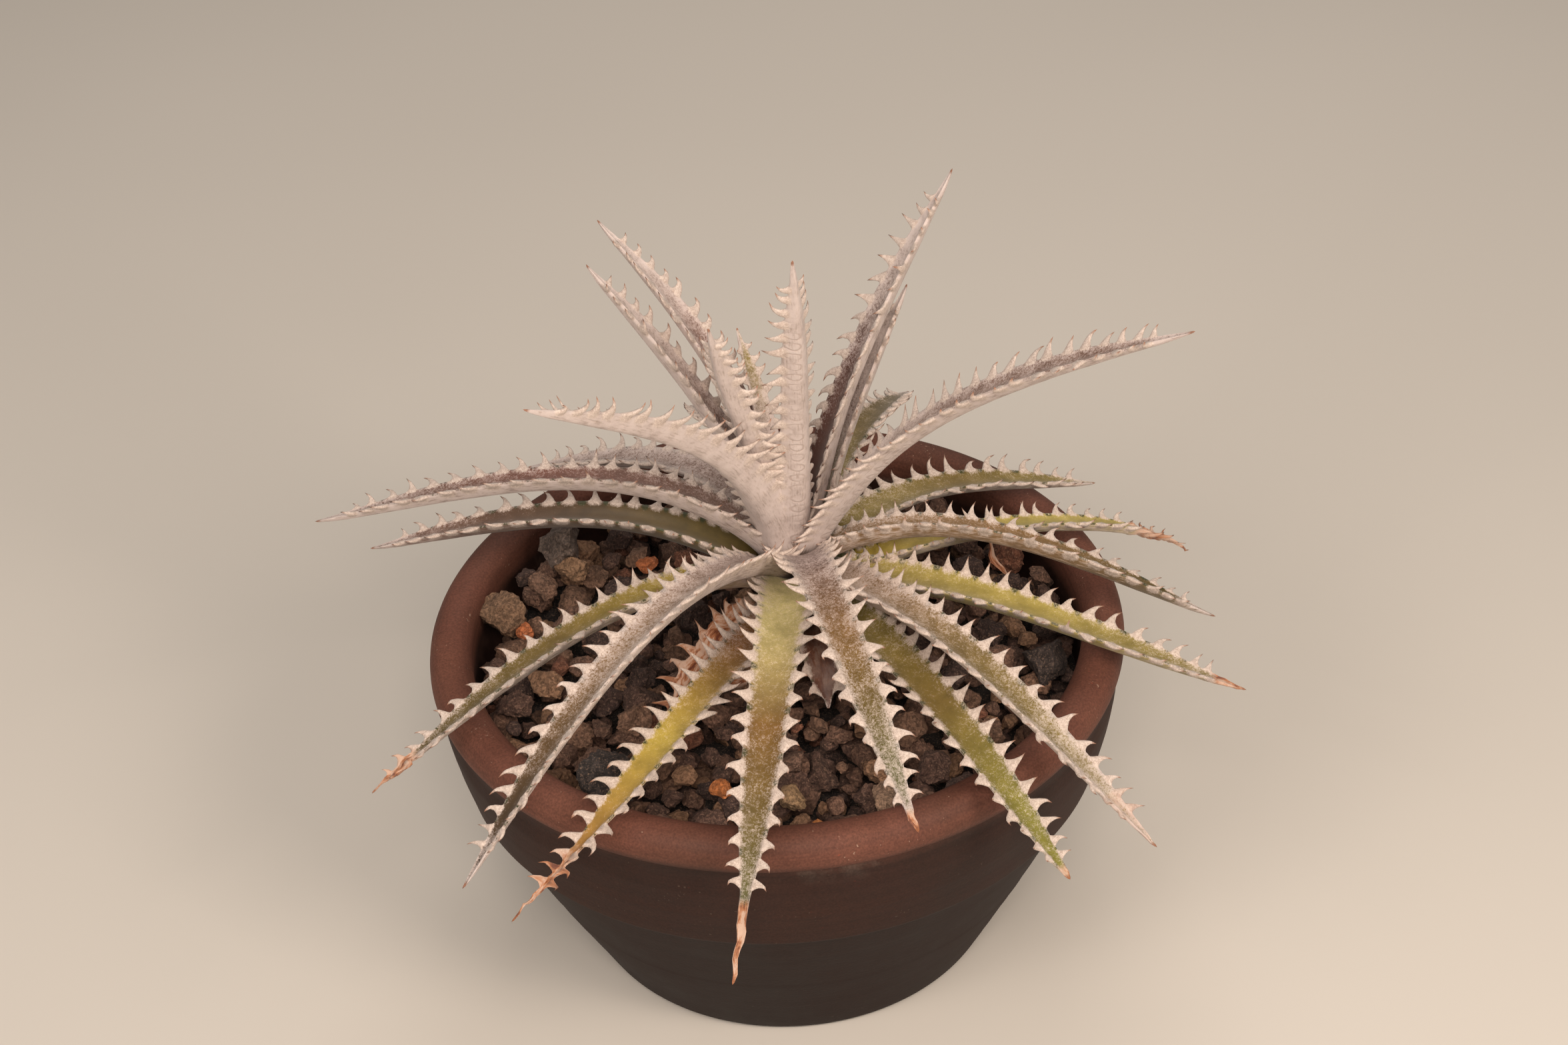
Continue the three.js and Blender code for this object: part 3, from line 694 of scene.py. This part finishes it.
def claw_rim(leaf, sign, sections, shares, half, rise, middle, axes, rng):
    """The points of one edge of a leaf: for each section nine, from the upper face to the lower.
    Each claw is bent out of the edge along its own spine. Also, for each point, how far up a claw
    it is, and its distance along the edge from the nearest claw's middle, in half claw bases."""
    along, side, up = axes
    inside = np.flatnonzero((sections >= 0) & (shares <= CLAWS_TO.get(leaf.name, 1 - leaf.needle)))
    count = len(inside) // CLAW_STEPS
    # The claws stand in line along the edge, each at most one cross section out of its place.
    claws = inside[0] + np.arange(count) * CLAW_STEPS + rng.integers(5, 8) + rng.integers(-1, 2, count)
    own = np.arange(len(shares))
    nearest = np.abs(own[:, None] - claws).argmin(1)
    distance = (own - claws[nearest]) / CLAW_HALF
    u = np.clip(distance, -1, 1)[:, None]
    at = shares[claws]
    base = (CLAW_HALF * np.gradient(shares)[claws] * leaf.length * MM)[nearest][:, None]
    size = np.interp(at, *CLAW_SIZES) * MM * leaf.claw * sqrt(leaf.width / 11)
    size = (size * rng.uniform(*UNEVEN_SIZE, count))[nearest]
    start = np.interp(at, *CLAW_START) + rng.normal(0, UNEVEN_START, count)
    end = np.interp(at, *CLAW_END) + leaf.hook * np.interp(at, *HOOKED)
    end += rng.normal(0, UNEVEN_END, count)
    start, end = np.radians(start)[nearest][:, None], np.radians(end)[nearest][:, None]
    lift = np.radians(CLAW_LIFT + rng.normal(0, UNEVEN_LIFT, count))[nearest][:, None]

    # How far up its claw each point is, from 0 on the edge to 1 at the end, and the way there,
    # which curls more and more.
    reach = RIM_OUT * (1 - np.abs(u)) ** 1.4
    arc = start[..., None] + (end - start)[..., None] * (reach[..., None] * ARC_STEPS) ** 1.5
    length = (reach * size[:, None])[..., None]
    out = (np.cos(arc) * length).mean(2)
    forward = (np.sin(arc) * length).mean(2)
    # The claw's flanks stand to both sides of that spine and turn with it.
    stout = STOUT if leaf.foot > YOUNG else SLENDER
    width = base * (stout * (1 - reach) + (1 - stout) * (1 - reach) ** 3.5)
    spread = np.abs(u) * (1 - RIM_OUT) + RIM_OUT
    lateral = np.sign(u) * width * spread
    lean = (start + (end - start) * reach**1.5) * np.minimum(1, reach / 0.25)
    out += -lateral * np.sin(lean) + 0.3 * EDGE * RIM_OUT
    shift = forward + lateral * np.cos(lean) - u * base
    swell = (EDGE + CLAW_FOOT * (1 - np.abs(u))) * (1 - reach) ** 0.8
    thick = RIM_FACE * swell * np.sqrt(1 - np.where(u == 0, 0, spread) ** 2 * RIM_OUT)
    thick *= np.clip((1 - shares) / leaf.needle, THINNEST, 1)[:, None]

    edge = middle + side * (sign * half)[:, None] + up * rise[:, None]
    side, up, along = (a[:, None, :] for a in (side * sign, up, along))
    lift = (lift * (0.35 + 0.65 * reach))[..., None]
    outwards = side * np.cos(lift) + up * np.sin(lift)
    normal = up * np.cos(lift) - side * np.sin(lift)
    points = edge[:, None, :] + outwards * out[..., None] + along * shift[..., None]
    points += normal * thick[..., None]
    return points, reach, np.abs(distance)[:, None] + 0 * reach


FOLDS = [(1, 0.24 / MM), (0.4, 0.8 / MM)]  # depth, number to the metre: 4 mm and 1.2 mm wide
# Each direction has folds of its own.
FOLD_SHIFTS = [Vector((0, 0, 0)), Vector((31.4, 17.2, 5.7)), Vector((7.3, 43.6, 29.1))]


def crumple(points, dry):
    """Moves points out of place like the folds of dried leaf, as far in mm as they are dry."""
    points = points.copy()
    for i in np.flatnonzero(dry):
        at = Vector(points[i])
        folds = [sum(deep * noise.noise(at * many + shift) for deep, many in FOLDS) for shift in FOLD_SHIFTS]
        points[i] += np.array(folds) * dry[i] * MM
    return points


# For each point of a leaf: its share of the length, how far it lies across to the left in metres,
# how far up a claw, how far along the edge from the nearest claw's middle in half claw bases, how
# far in from the edge as a share of the half width, and 1 where it is on the back.
Spots = namedtuple("Spots", "share across reach beside inset under")


def build_leaf(leaf):
    """Points and faces of a whole leaf, and the spots where the points lie."""
    rng = np.random.default_rng(leaf.length * 31 + leaf.heading)
    first, last = CLAWS_FROM, CLAWS_TO.get(leaf.name, 1 - leaf.needle)
    claws = round(leaf.length * (last - first) / (2 + 0.2 * leaf.width))
    fine = np.linspace(0, 1, 401)
    crowding = np.interp(fine, *CROWDING)
    steps = np.concatenate([[0], np.cumsum(1 / ((crowding[1:] + crowding[:-1]) / 2))])
    clawed = np.interp(np.linspace(0, 1, claws * CLAW_STEPS + 1), steps / steps[-1], fine)
    before = np.linspace(-FOOTING / leaf.length, first, 5)[:-1]
    after = last + (0.995 - last) * np.linspace(0, 1, 12)[1:]
    shares = np.concatenate([before, first + (last - first) * clawed, after])
    sections = np.arange(len(shares)) - len(before)

    middle = blade_middle(leaf, shares)
    axes = along, side, up = blade_axes(leaf, shares)
    point = np.clip((1 - shares) / leaf.needle, 0, 1) ** 0.6
    half = leaf.width / 2 * MM * np.interp(shares / (1 - leaf.needle), *zip(*PROFILE)) * point
    # Where the blade clasps the stem its channel is deeper and its keel shallower.
    rise = CHANNEL * half * np.interp(shares, [0, 0.15], [1.3, 1])
    rise_of_edge = rise - 0.35 * MM * point
    keel = (KEEL * half + SKIN * point) * np.interp(shares, [-0.03, 0.15], [0.6, 1])
    if leaf.tone == "dry":
        keel *= DRY_KEEL
    top = rise[:, None] * TOP_ACROSS**2
    lean_edge = EDGE * np.clip((1 - shares) / leaf.needle, THINNEST, 1)
    below = -keel[:, None] + (rise_of_edge - lean_edge + keel)[:, None] * np.abs(TOP_ACROSS) ** 1.8

    def across(heights, places):
        flat = middle[:, None, :] + side[:, None, :] * (half[:, None] * places)[..., None]
        return flat + up[:, None, :] * heights[..., None]

    right, right_reach, right_u = claw_rim(leaf, -1, sections, shares, half, rise_of_edge, middle, axes, rng)
    left, left_reach, left_u = claw_rim(leaf, 1, sections, shares, half, rise_of_edge, middle, axes, rng)
    back = across(below[:, ::-1], TOP_ACROSS[::-1])
    rings = np.concatenate([across(top, TOP_ACROSS), right, back, left[:, ::-1]], 1)
    count, sides = rings.shape[:2]
    flat = np.zeros((count, len(TOP_ACROSS)))
    beside = np.where(TOP_ACROSS > 0, left_u[:, :1], right_u[:, :1])
    inset = flat + 1 - np.abs(TOP_ACROSS)
    under = np.broadcast_to(RIM_FACE < 0, right_reach.shape)
    places = np.concatenate([TOP_ACROSS, -1 - 0.4 * RIM_OUT, TOP_ACROSS[::-1], (1 + 0.4 * RIM_OUT)[::-1]])

    points = rings.reshape(-1, 3)
    index = np.arange(count * sides).reshape(count, sides)
    ahead = np.roll(index, -1, 1)
    quads = np.stack([index[:-1], ahead[:-1], ahead[1:], index[1:]], 2).reshape(-1, 4).tolist()
    foot, tip = len(points), len(points) + 1
    caps = [(foot, ahead[0, k], index[0, k]) for k in range(sides)]
    caps += [(tip, index[-1, k], ahead[-1, k]) for k in range(sides)]
    ends = [points[:sides].mean(0), blade_middle(leaf, np.array([1.0]))[0]]
    # The rings' values, with the foot's and the tip's after them.
    spots = Spots(
        share=np.append(np.repeat(shares, sides), [0, 1]),
        across=np.append(half[:, None] * places, [0, 0]),
        reach=np.append(np.concatenate([flat, right_reach, flat, left_reach[:, ::-1]], 1), [0, 0]),
        beside=np.append(np.concatenate([beside, right_u, beside[:, ::-1], left_u[:, ::-1]], 1), [3, 3]),
        inset=np.append(np.concatenate([inset, 0 * right_u, inset[:, ::-1], 0 * left_u], 1), [1, 1]),
        under=np.append(np.concatenate([flat, under, flat + 1, under[:, ::-1]], 1), [0, 0]),
    )
    return np.vstack([points, ends]), quads + caps, spots


# The flesh's colours, seen through the felt.
FLESH = {
    "cream": "#b5a39a",
    "plum": "#5b3a31",
    "maroon": "#6f4234",
    "mauve": "#745648",
    "umber": "#4e3b26",
    "bronze": "#765626",
    "khaki": "#75612e",
    "olive": "#857539",
    "moss": "#5c4c20",
    "green": "#7f7a30",
    # Painted light: a flesh lighter than the leaf's own, for the front leaf's foot, which lies in shade.
    "celery": "#d0c684",
    "fern": "#52501f",
    "lime": "#a6964f",
    "tan": "#806034",
    "straw": "#b39d44",
    "amber": "#8e6030",
    "rust": "#8a4628",
}
# For each leaf, its flesh and how much felt covers it, at the foot, in the middle and at the tip.
LOOKS = {
    "heart_small": ("cream", 0.8, "cream", 0.75, "olive", 0.5),
    "heart_left": ("cream", 0.8, "cream", 0.85, "cream", 0.85),
    "heart_front": ("cream", 0.85, "cream", 1.0, "cream", 0.9),
    "upright_right": ("plum", -0.1, "plum", 0.5, "cream", 1.0),
    "upright_back": ("mauve", 0.6, "maroon", 0.45, "cream", 0.9),
    "upright_left": ("plum", 0.6, "mauve", 0.6, "cream", 0.9),
    "rising_right": ("cream", 0.75, "mauve", 0.55, "mauve", 0.5),
    "rising_left": ("cream", 0.85, "cream", 0.9, "cream", 0.8),
    "front_topmost": ("plum", 0.62, "bronze", 0.38, "fern", 0.52),
    "upright_far": ("olive", 0.6, "mauve", 0.7, "cream", 0.8),
    "left_upper": ("mauve", 0.3, "maroon", 0.3, "mauve", 0.6),
    "right_upper": ("tan", 0.45, "tan", 0.22, "moss", 0.1),
    "front_left": ("mauve", 0.6, "tan", 0.68, "umber", 0.15),
    "back_far_left": ("olive", 0.5, "olive", 0.4, "cream", 0.6),
    "back_far_right": ("olive", 0.3, "khaki", 0.25, "moss", 0.4),
    "front_right": ("tan", 0.65, "khaki", 0.3, "olive", 0.8),
    # The front leaf's foot is lightened with painted light, where it lies in shade.
    "front": ("celery", 0.4, "bronze", 0.22, "fern", 0.42),
    "back_right": ("olive", 0.35, "khaki", 0.15, "olive", 0.35),
    "back_left": ("mauve", 0.7, "mauve", 0.7, "mauve", 0.75),
    "left_lower": ("moss", -0.3, "umber", -0.1, "mauve", 0.45),
    "left_front": ("straw", 0.35, "khaki", 0.15, "moss", 0.45),
    "right": ("lime", 0.3, "lime", 0.1, "olive", 0.5),
    "right_behind": ("straw", 0.1, "lime", 0.05, "lime", 0.1),
    "front_right_lower": ("olive", 0.35, "khaki", 0.12, "green", 0.35),
    "front_left_oldest": ("amber", 0.42, "straw", 0.15, "amber", 0.1),
    "dry_base_left": ("rust", 0.1, "rust", 0.1, "rust", 0.1),
    "dry_base_front": ("plum", 0, "plum", 0, "plum", 0.05),
}
# Where the tip has died back, as a share of the length; on the others only the needle is dry.
DRY_FROM = {
    "dry_base_left": 0,
    "dry_base_front": 0,
    "left_front": 0.86,
    "front_left_oldest": 0.75,
    "right_behind": 0.75,
    "front": 0.83,
    "front_right": 0.85,
    "front_right_lower": 0.95,
    "front_topmost": 0.93,
    "right": 0.9,
}
DRIES_OVER = 0.04  # share of the length over which the flesh dries
DRIES_SLOWLY = {"front_left_oldest": 0.14}
# How dry that part is, where it isn't dry all through.
DRY_DEPTH = {
    "dry_base_left": 0.7,
    "dry_base_front": 0.3,
    "front_right": 0.35,
    "right": 0.7,
    "front_right_lower": 0.6,
}
TIP_FOLDS, SHEATH_FOLDS = 0.8, 1.4  # mm, how far dried tips and dry leaves are crumpled
PRESSED = {"heart_front": 0.85, "rising_right": 0.45, "heart_left": 0.5}  # how far the prints go
NEEDLE = 0.965  # share of the length where the horn of a living needle starts
# How far the back turns to pale felt: all on the young leaves. On the low leaves under the plant it is kept
# small, so that their backs stay dark: painted shade.
BACK_FELT = 0.6
BACK_CREAM = 0.55  # how far the flesh there pales too
BACKS = {
    "left_lower": 0.1,
    "right": 0.05,
    "right_upper": 0.2,
    "left_upper": 0.95,
    "rising_right": 0.85,
    "upright_right": 1.0,
    "upright_left": 1.0,
    "upright_back": 0.9,
    "upright_far": 0.9,
}
# How green the margin is between the claws: hardly at all on the young leaves.
MARGINS = {
    "heart_left": 0,
    "heart_front": 0,
    "heart_small": 0.5,
    "upright_right": 0,
    "upright_back": 0,
    "upright_left": 0,
    "upright_far": 0.2,
    "rising_left": 0.3,
    "rising_right": 0.2,
    "left_upper": 0.6,
}
LOOK_PLACES = [0.18, 0.5, 0.85]  # the foot, the middle and the tip, as shares of the length
EDGE_FELT = 0.3  # how much the felt thickens toward the edges
EDGE_FELT_IN = 0.6  # and how far in, of the half width
END_FELT = 0.7  # how much of the bare skin it covers at the end of a blade
END_FELT_FROM = (0.86, 0.94)
BARE_END = ("front_right_lower",)
# Where a blade clasps the stem it turns brown and bare.
SHEATH = "#5c4434"
SHEATH_ENDS = (1.4, 0.4)  # gone at the first, full at the second, times the footing's length
SHEATH_BROWN, SHEATH_BARE = 0.8, 0.7

# Living leaf: firm waxy flesh under a coat of white scales. The scales lie in curly flecks above
# and in fine lines along the back, and cover the claws whole. Claws end in amber horn.
felt, tree, place = new_material("felted dyckia leaf")
flesh = add(tree, "Attribute", attribute_name="flesh").outputs["Vector"]
blade = add(tree, "Attribute", attribute_name="blade").outputs["Vector"]
cover = add(tree, "SeparateXYZ", {"Vector": add(tree, "Attribute", attribute_name="cover").outputs["Vector"]})
horn = add(tree, "SeparateXYZ", {"Vector": add(tree, "Attribute", attribute_name="horn").outputs["Vector"]})
felt_here, claw_here, margin_here = cover.outputs
horn_here, dry_here, back_here = horn.outputs
blotch = add(tree, "TexNoise", {"Vector": place, "Scale": 0.21 / MM, "Detail": 6.0, "Roughness": 0.68})
tone = add(tree, "MapRange", {"Value": blotch, "From": (0.3, 0.7), "To": (0.72, 1.25)})
toned = add(tree, "Mix", {"Factor": 1.0, "A": flesh, "B": tone}, data_type="RGBA", blend_type="MULTIPLY")
margin = add(tree, "Math", {0: margin_here, 1: 1.2, 2: blotch}, operation="MULTIPLY_ADD")
greened = add(tree, "MapRange", {"Value": margin, "From": (0.75, 1.15), "To": (0.0, 0.9)})
fleshed = add(tree, "Mix", {"Factor": greened, "A": toned, "B": linear("#363c1f")}, data_type="RGBA")

# Scales are a tenth of a millimetre across. They are drawn in clusters of half a millimetre,
# which show, and on the back in rows 0.42 mm apart.
curls = {"Vector": place, "Scale": 2.0 / MM, "Detail": 3.0, "Roughness": 0.6, "Distortion": 1.1}
flecks = add(tree, "TexNoise", curls)
spot = add(tree, "SeparateXYZ", {"Vector": blade})
lengthwise = add(tree, "Mapping", {"Vector": blade, "Scale": (1.0, 0.15, 1.0)})
strands = add(tree, "TexNoise", {"Vector": lengthwise, "Scale": 2.6 / MM, "Detail": 3.0, "Roughness": 0.6})
sway = add(tree, "Math", {0: blotch, 1: 0.3 * MM, 2: spot.outputs["X"]}, operation="MULTIPLY_ADD")
phase = add(tree, "Math", {0: sway, 1: 2 * pi / (0.42 * MM)}, operation="MULTIPLY")
veins = add(tree, "Math", {0: phase}, operation="SINE")
rows = add(tree, "Math", {0: veins, 1: 0.035, 2: strands}, operation="MULTIPLY_ADD")
scales = add(tree, "Mix", {"Factor": back_here, "A": flecks, "B": rows}, data_type="FLOAT")
drift = add(tree, "Math", {0: blotch, 1: 0.45, 2: scales}, operation="MULTIPLY_ADD")
coat = add(tree, "Math", {0: felt_here, 1: 0.42, 2: drift}, operation="MULTIPLY_ADD")
coated = add(tree, "MapRange", {"Value": coat, "From": (0.86, 1.12), "To": (0.0, 0.88)})
thick = add(tree, "ValToRGB", {"Fac": blotch}, stops=[(0.3, "#c4b5b0"), (0.7, "#dccfcb")])
bright = add(tree, "VectorMath", {0: flesh, 1: (2.0, 2.0, 2.0)}, operation="MULTIPLY")
sheer = add(tree, "Mix", {"Factor": 0.55, "A": thick, "B": bright}, data_type="RGBA")
chalk = add(tree, "Mix", {"Factor": felt_here, "A": sheer, "B": thick}, data_type="RGBA")
skin = add(tree, "Mix", {"Factor": coated, "A": fleshed, "B": chalk}, data_type="RGBA")
fuzz = add(tree, "Math", {0: flecks, 1: 0.7, 2: claw_here}, operation="MULTIPLY_ADD")
fuzzed = add(tree, "MapRange", {"Value": fuzz, "From": (0.6, 1.05), "To": (0.0, 0.95)})
cream = add(tree, "ValToRGB", {"Fac": flecks}, stops=[(0.35, "#b8a59a"), (0.62, "#dccdc3")])
clawed = add(tree, "Mix", {"Factor": fuzzed, "A": skin, "B": cream}, data_type="RGBA")

# Dried parts are papery: pale beige, streaked with brown, and orange where they are thin.
streaks = add(tree, "Mapping", {"Vector": blade, "Scale": (1.0, 0.25, 1.0)})
streak = add(tree, "TexNoise", {"Vector": streaks, "Scale": 0.9 / MM, "Detail": 4.0, "Roughness": 0.65})
browns = [(0.36, "#6a3420"), (0.45, "#b2744b"), (0.54, "#cfae99")]
paper = add(tree, "ValToRGB", {"Fac": streak}, stops=browns)
dead = add(tree, "Math", {0: blotch, 1: 0.5, 2: dry_here}, operation="MULTIPLY_ADD")
dried = add(tree, "MapRange", {"Value": dead, "From": (0.5, 0.9), "To": (0.0, 0.92)})
withered = add(tree, "Mix", {"Factor": dried, "A": clawed, "B": paper}, data_type="RGBA")
amber = add(tree, "MapRange", {"Value": horn_here, "From": (0.65, 0.9), "To": (0.0, 0.85)})
ambered = add(tree, "Mix", {"Factor": amber, "A": withered, "B": linear("#925a38")}, data_type="RGBA")

# In the bud the claws of the next leaf pressed rings of 2.6 mm into the felt of a leaf's back,
# 3.2 mm apart.
pressed = add(tree, "Attribute", attribute_name="pressed").outputs["Fac"]
wobble = add(tree, "Math", {0: blotch, 1: 1.2 * MM, 2: spot.outputs["Y"]}, operation="MULTIPLY_ADD")
row = add(tree, "Math", {0: wobble, 1: 1 / (3.2 * MM)}, operation="MULTIPLY")
step = add(tree, "Math", {0: row}, operation="FRACT")
ring_y = add(tree, "Math", {0: step, 1: 3.2, 2: -1.6}, operation="MULTIPLY_ADD")
ring_x = add(tree, "Math", {0: spot.outputs["X"], 1: 1 / (1.3 * MM), 2: 1.0}, operation="MULTIPLY_ADD")
ring_at = add(tree, "CombineXYZ", {"X": ring_x, "Y": ring_y})
ring = add(tree, "VectorMath", {0: ring_at}, operation="LENGTH").outputs["Value"]
off_ring = add(tree, "Math", {0: ring, 1: 1.0}, operation="SUBTRACT")
beside_ring = add(tree, "Math", {0: off_ring}, operation="ABSOLUTE")
line = add(tree, "MapRange", {"Value": beside_ring, "From": (0.0, 0.3), "To": (1.0, 0.0)})
clear = add(tree, "MapRange", {"Value": blotch, "From": (0.42, 0.58), "To": (0.15, 1.0)})
deep = add(tree, "Math", {0: clear, 1: pressed}, operation="MULTIPLY")
printed = add(tree, "Math", {0: line, 1: deep}, operation="MULTIPLY")
dent = add(tree, "Math", {0: printed, 1: 0.55}, operation="MULTIPLY")
dented = add(tree, "Mix", {"Factor": dent, "A": ambered, "B": linear("#a58f84")}, data_type="RGBA")

# Bare skin has a dull shine, felt has none. The scales stand up from it, the prints go in.
furry = add(tree, "Math", {0: coated, 1: fuzzed}, operation="MAXIMUM")
dull = add(tree, "MapRange", {"Value": furry, "To": (0.45, 0.9)})
pile = add(tree, "Math", {0: scales, 1: 0.6, 2: furry}, operation="MULTIPLY_ADD")
relief = add(tree, "Math", {0: printed, 1: -1.5, 2: pile}, operation="MULTIPLY_ADD")
rough = add(tree, "Bump", {"Height": relief, "Strength": 0.45, "Distance": 0.12 * MM})
surface = add(
    tree,
    "BsdfPrincipled",
    {"Base Color": dented, "Roughness": dull, "IOR": 1.45, "Sheen Weight": 0.12, "Normal": rough},
)
add(tree, "OutputMaterial", {"Surface": surface})


def ramp(values, start, end):
    """Rises evenly from 0 at the start to 1 at the end, and stays there."""
    return np.clip((values - start) / (end - start), 0, 1)


for number, leaf in enumerate(LEAVES):
    points, faces, at = build_leaf(leaf)
    tones, coats = LOOKS[leaf.name][::2], LOOKS[leaf.name][1::2]
    colours = np.array([linear(FLESH[tone])[:3] for tone in tones])
    flesh = np.stack([np.interp(at.share, LOOK_PLACES, colours[:, k]) for k in range(3)], 1)
    felted = np.interp(at.share, LOOK_PLACES, coats)
    # The backs pale with felt, little on the low leaves, whose dark backs are painted shade.
    paler = BACKS.get(leaf.name, BACK_FELT) * at.under
    felted += paler * (1 - felted)
    flesh += BACK_CREAM * paler[:, None] * (linear(FLESH["cream"])[:3] - flesh)
    if leaf.name not in BARE_END:
        felted += END_FELT * ramp(at.share, *END_FELT_FROM) * (1 - felted)
    sheath = ramp(at.share * leaf.length / FOOTING, *SHEATH_ENDS)
    flesh += SHEATH_BROWN * sheath[:, None] * (linear(SHEATH)[:3] - flesh)
    felted -= SHEATH_BARE * sheath
    felted += EDGE_FELT * ramp(at.inset, EDGE_FELT_IN, 0) * (1 - at.under)

    dries_from, dries_over = DRY_FROM.get(leaf.name, 1), DRIES_SLOWLY.get(leaf.name, DRIES_OVER)
    dry = np.minimum(ramp(at.share, dries_from, dries_from + dries_over), DRY_DEPTH.get(leaf.name, 1))
    folds = SHEATH_FOLDS if leaf.tone == "dry" else TIP_FOLDS
    near_edge = ramp(at.inset, 0.4, 0)
    claw = np.maximum(ramp(at.beside, 1.5, 0.5) * near_edge, ramp(at.reach, 0, 0.15))
    margin = ramp(at.beside, 1.05, 1.35) * near_edge * (1 - at.under) * MARGINS.get(leaf.name, 1)
    horny = np.maximum(at.reach, ramp(at.share, NEEDLE, NEEDLE + 0.03))
    prints_to = PRESSED.get(leaf.name, 0)
    piece = make_piece(
        ("sheath_" if leaf.tone == "dry" else "blade_") + leaf.name,
        crumple(points, dry * folds * ramp(at.share, 1, 0.98)),
        faces,
        felt,
        flesh=flesh.T,
        blade=(at.across, at.share * leaf.length * MM, 0.05 * number),
        cover=(felted, claw, margin),
        horn=(horny, dry, at.under),
        pressed=[ramp(at.share, prints_to, prints_to - 0.1) * at.under] * 3,
    )
    if leaf.tone == "dry":
        finish_piece(piece, "dry_leaf", leaf.name.replace("dry_", "dry_leaf_"))
    else:
        finish_piece(piece, "leaf_" + leaf.tone, "leaf_" + leaf.name)

# ---- Fallen scraps --------------------------------------------------------------------------
# Two bits of dead leaf lie loose on the stones, a curled strip and a crumpled flake. They are
# papery, dry and a third of a millimetre thick.

# Points along the middle of each: x, y and half width in mm.
SCRAPS = {
    "curled_strip": [
        (48.9, 28.0, 0.4),
        (49.2, 25.8, 0.8),
        (50.9, 23.4, 0.9),
        (52.6, 22.8, 0.85),
        (54.2, 24.4, 0.4),
    ],
    "crumpled_flake": [
        (-12.3, -17.0, 0.8),
        (-10.6, -18.0, 2.2),
        (-8.7, -18.4, 2.2),
        (-7.2, -18.7, 0.9),
    ],
}
SCRAP_THICKNESS = 0.35 * MM
SCRAP_LENGTH = 7 * MM
SCRAP_FOLDS = 0.55  # mm
CUPPED = 0.6  # rise of the edges, of the half width

for number, (name, course) in enumerate(SCRAPS.items()):
    rod, faces = lathe([(0, 0), *((1, t) for t in np.linspace(0, 1, 40)), (0, 1)], 32)
    wide, deep, part = rod.T
    stops = np.linspace(0, 1, len(course))
    x, y, half = (MM * np.interp(part, stops, column) for column in zip(*course))
    slope = np.gradient(np.array(course)[:, :2], axis=0)
    slope /= np.linalg.norm(slope, axis=1)[:, None]
    ahead_x, ahead_y = (np.interp(part, stops, column) for column in slope.T)

    # Each end rests on the stones below it, and the whole is lifted clear of the highest one.
    below = bed[np.searchsorted(across, x), np.searchsorted(across, y)]
    lean = np.interp(part, [0, 1], [below[part < 0.05].mean(), below[part > 0.95].mean()])
    z = lean + (below - lean).max() + CUPPED * half * wide**2 + SCRAP_THICKNESS * (1 + deep) / 2
    points = np.stack([x - wide * half * ahead_y, y + wide * half * ahead_x, z], 1)
    scrap = make_piece(
        name,
        crumple(points, SCRAP_FOLDS + 0 * part),
        faces,
        felt,
        flesh=linear(FLESH["rust"])[:3],
        blade=(wide * half, part * SCRAP_LENGTH, 2 + 0.05 * number),
        cover=(0.3, 0, 0),
        horn=(0, 0.85, 0),
        pressed=(0, 0, 0),
    )
    finish_piece(scrap, "dry_leaf")
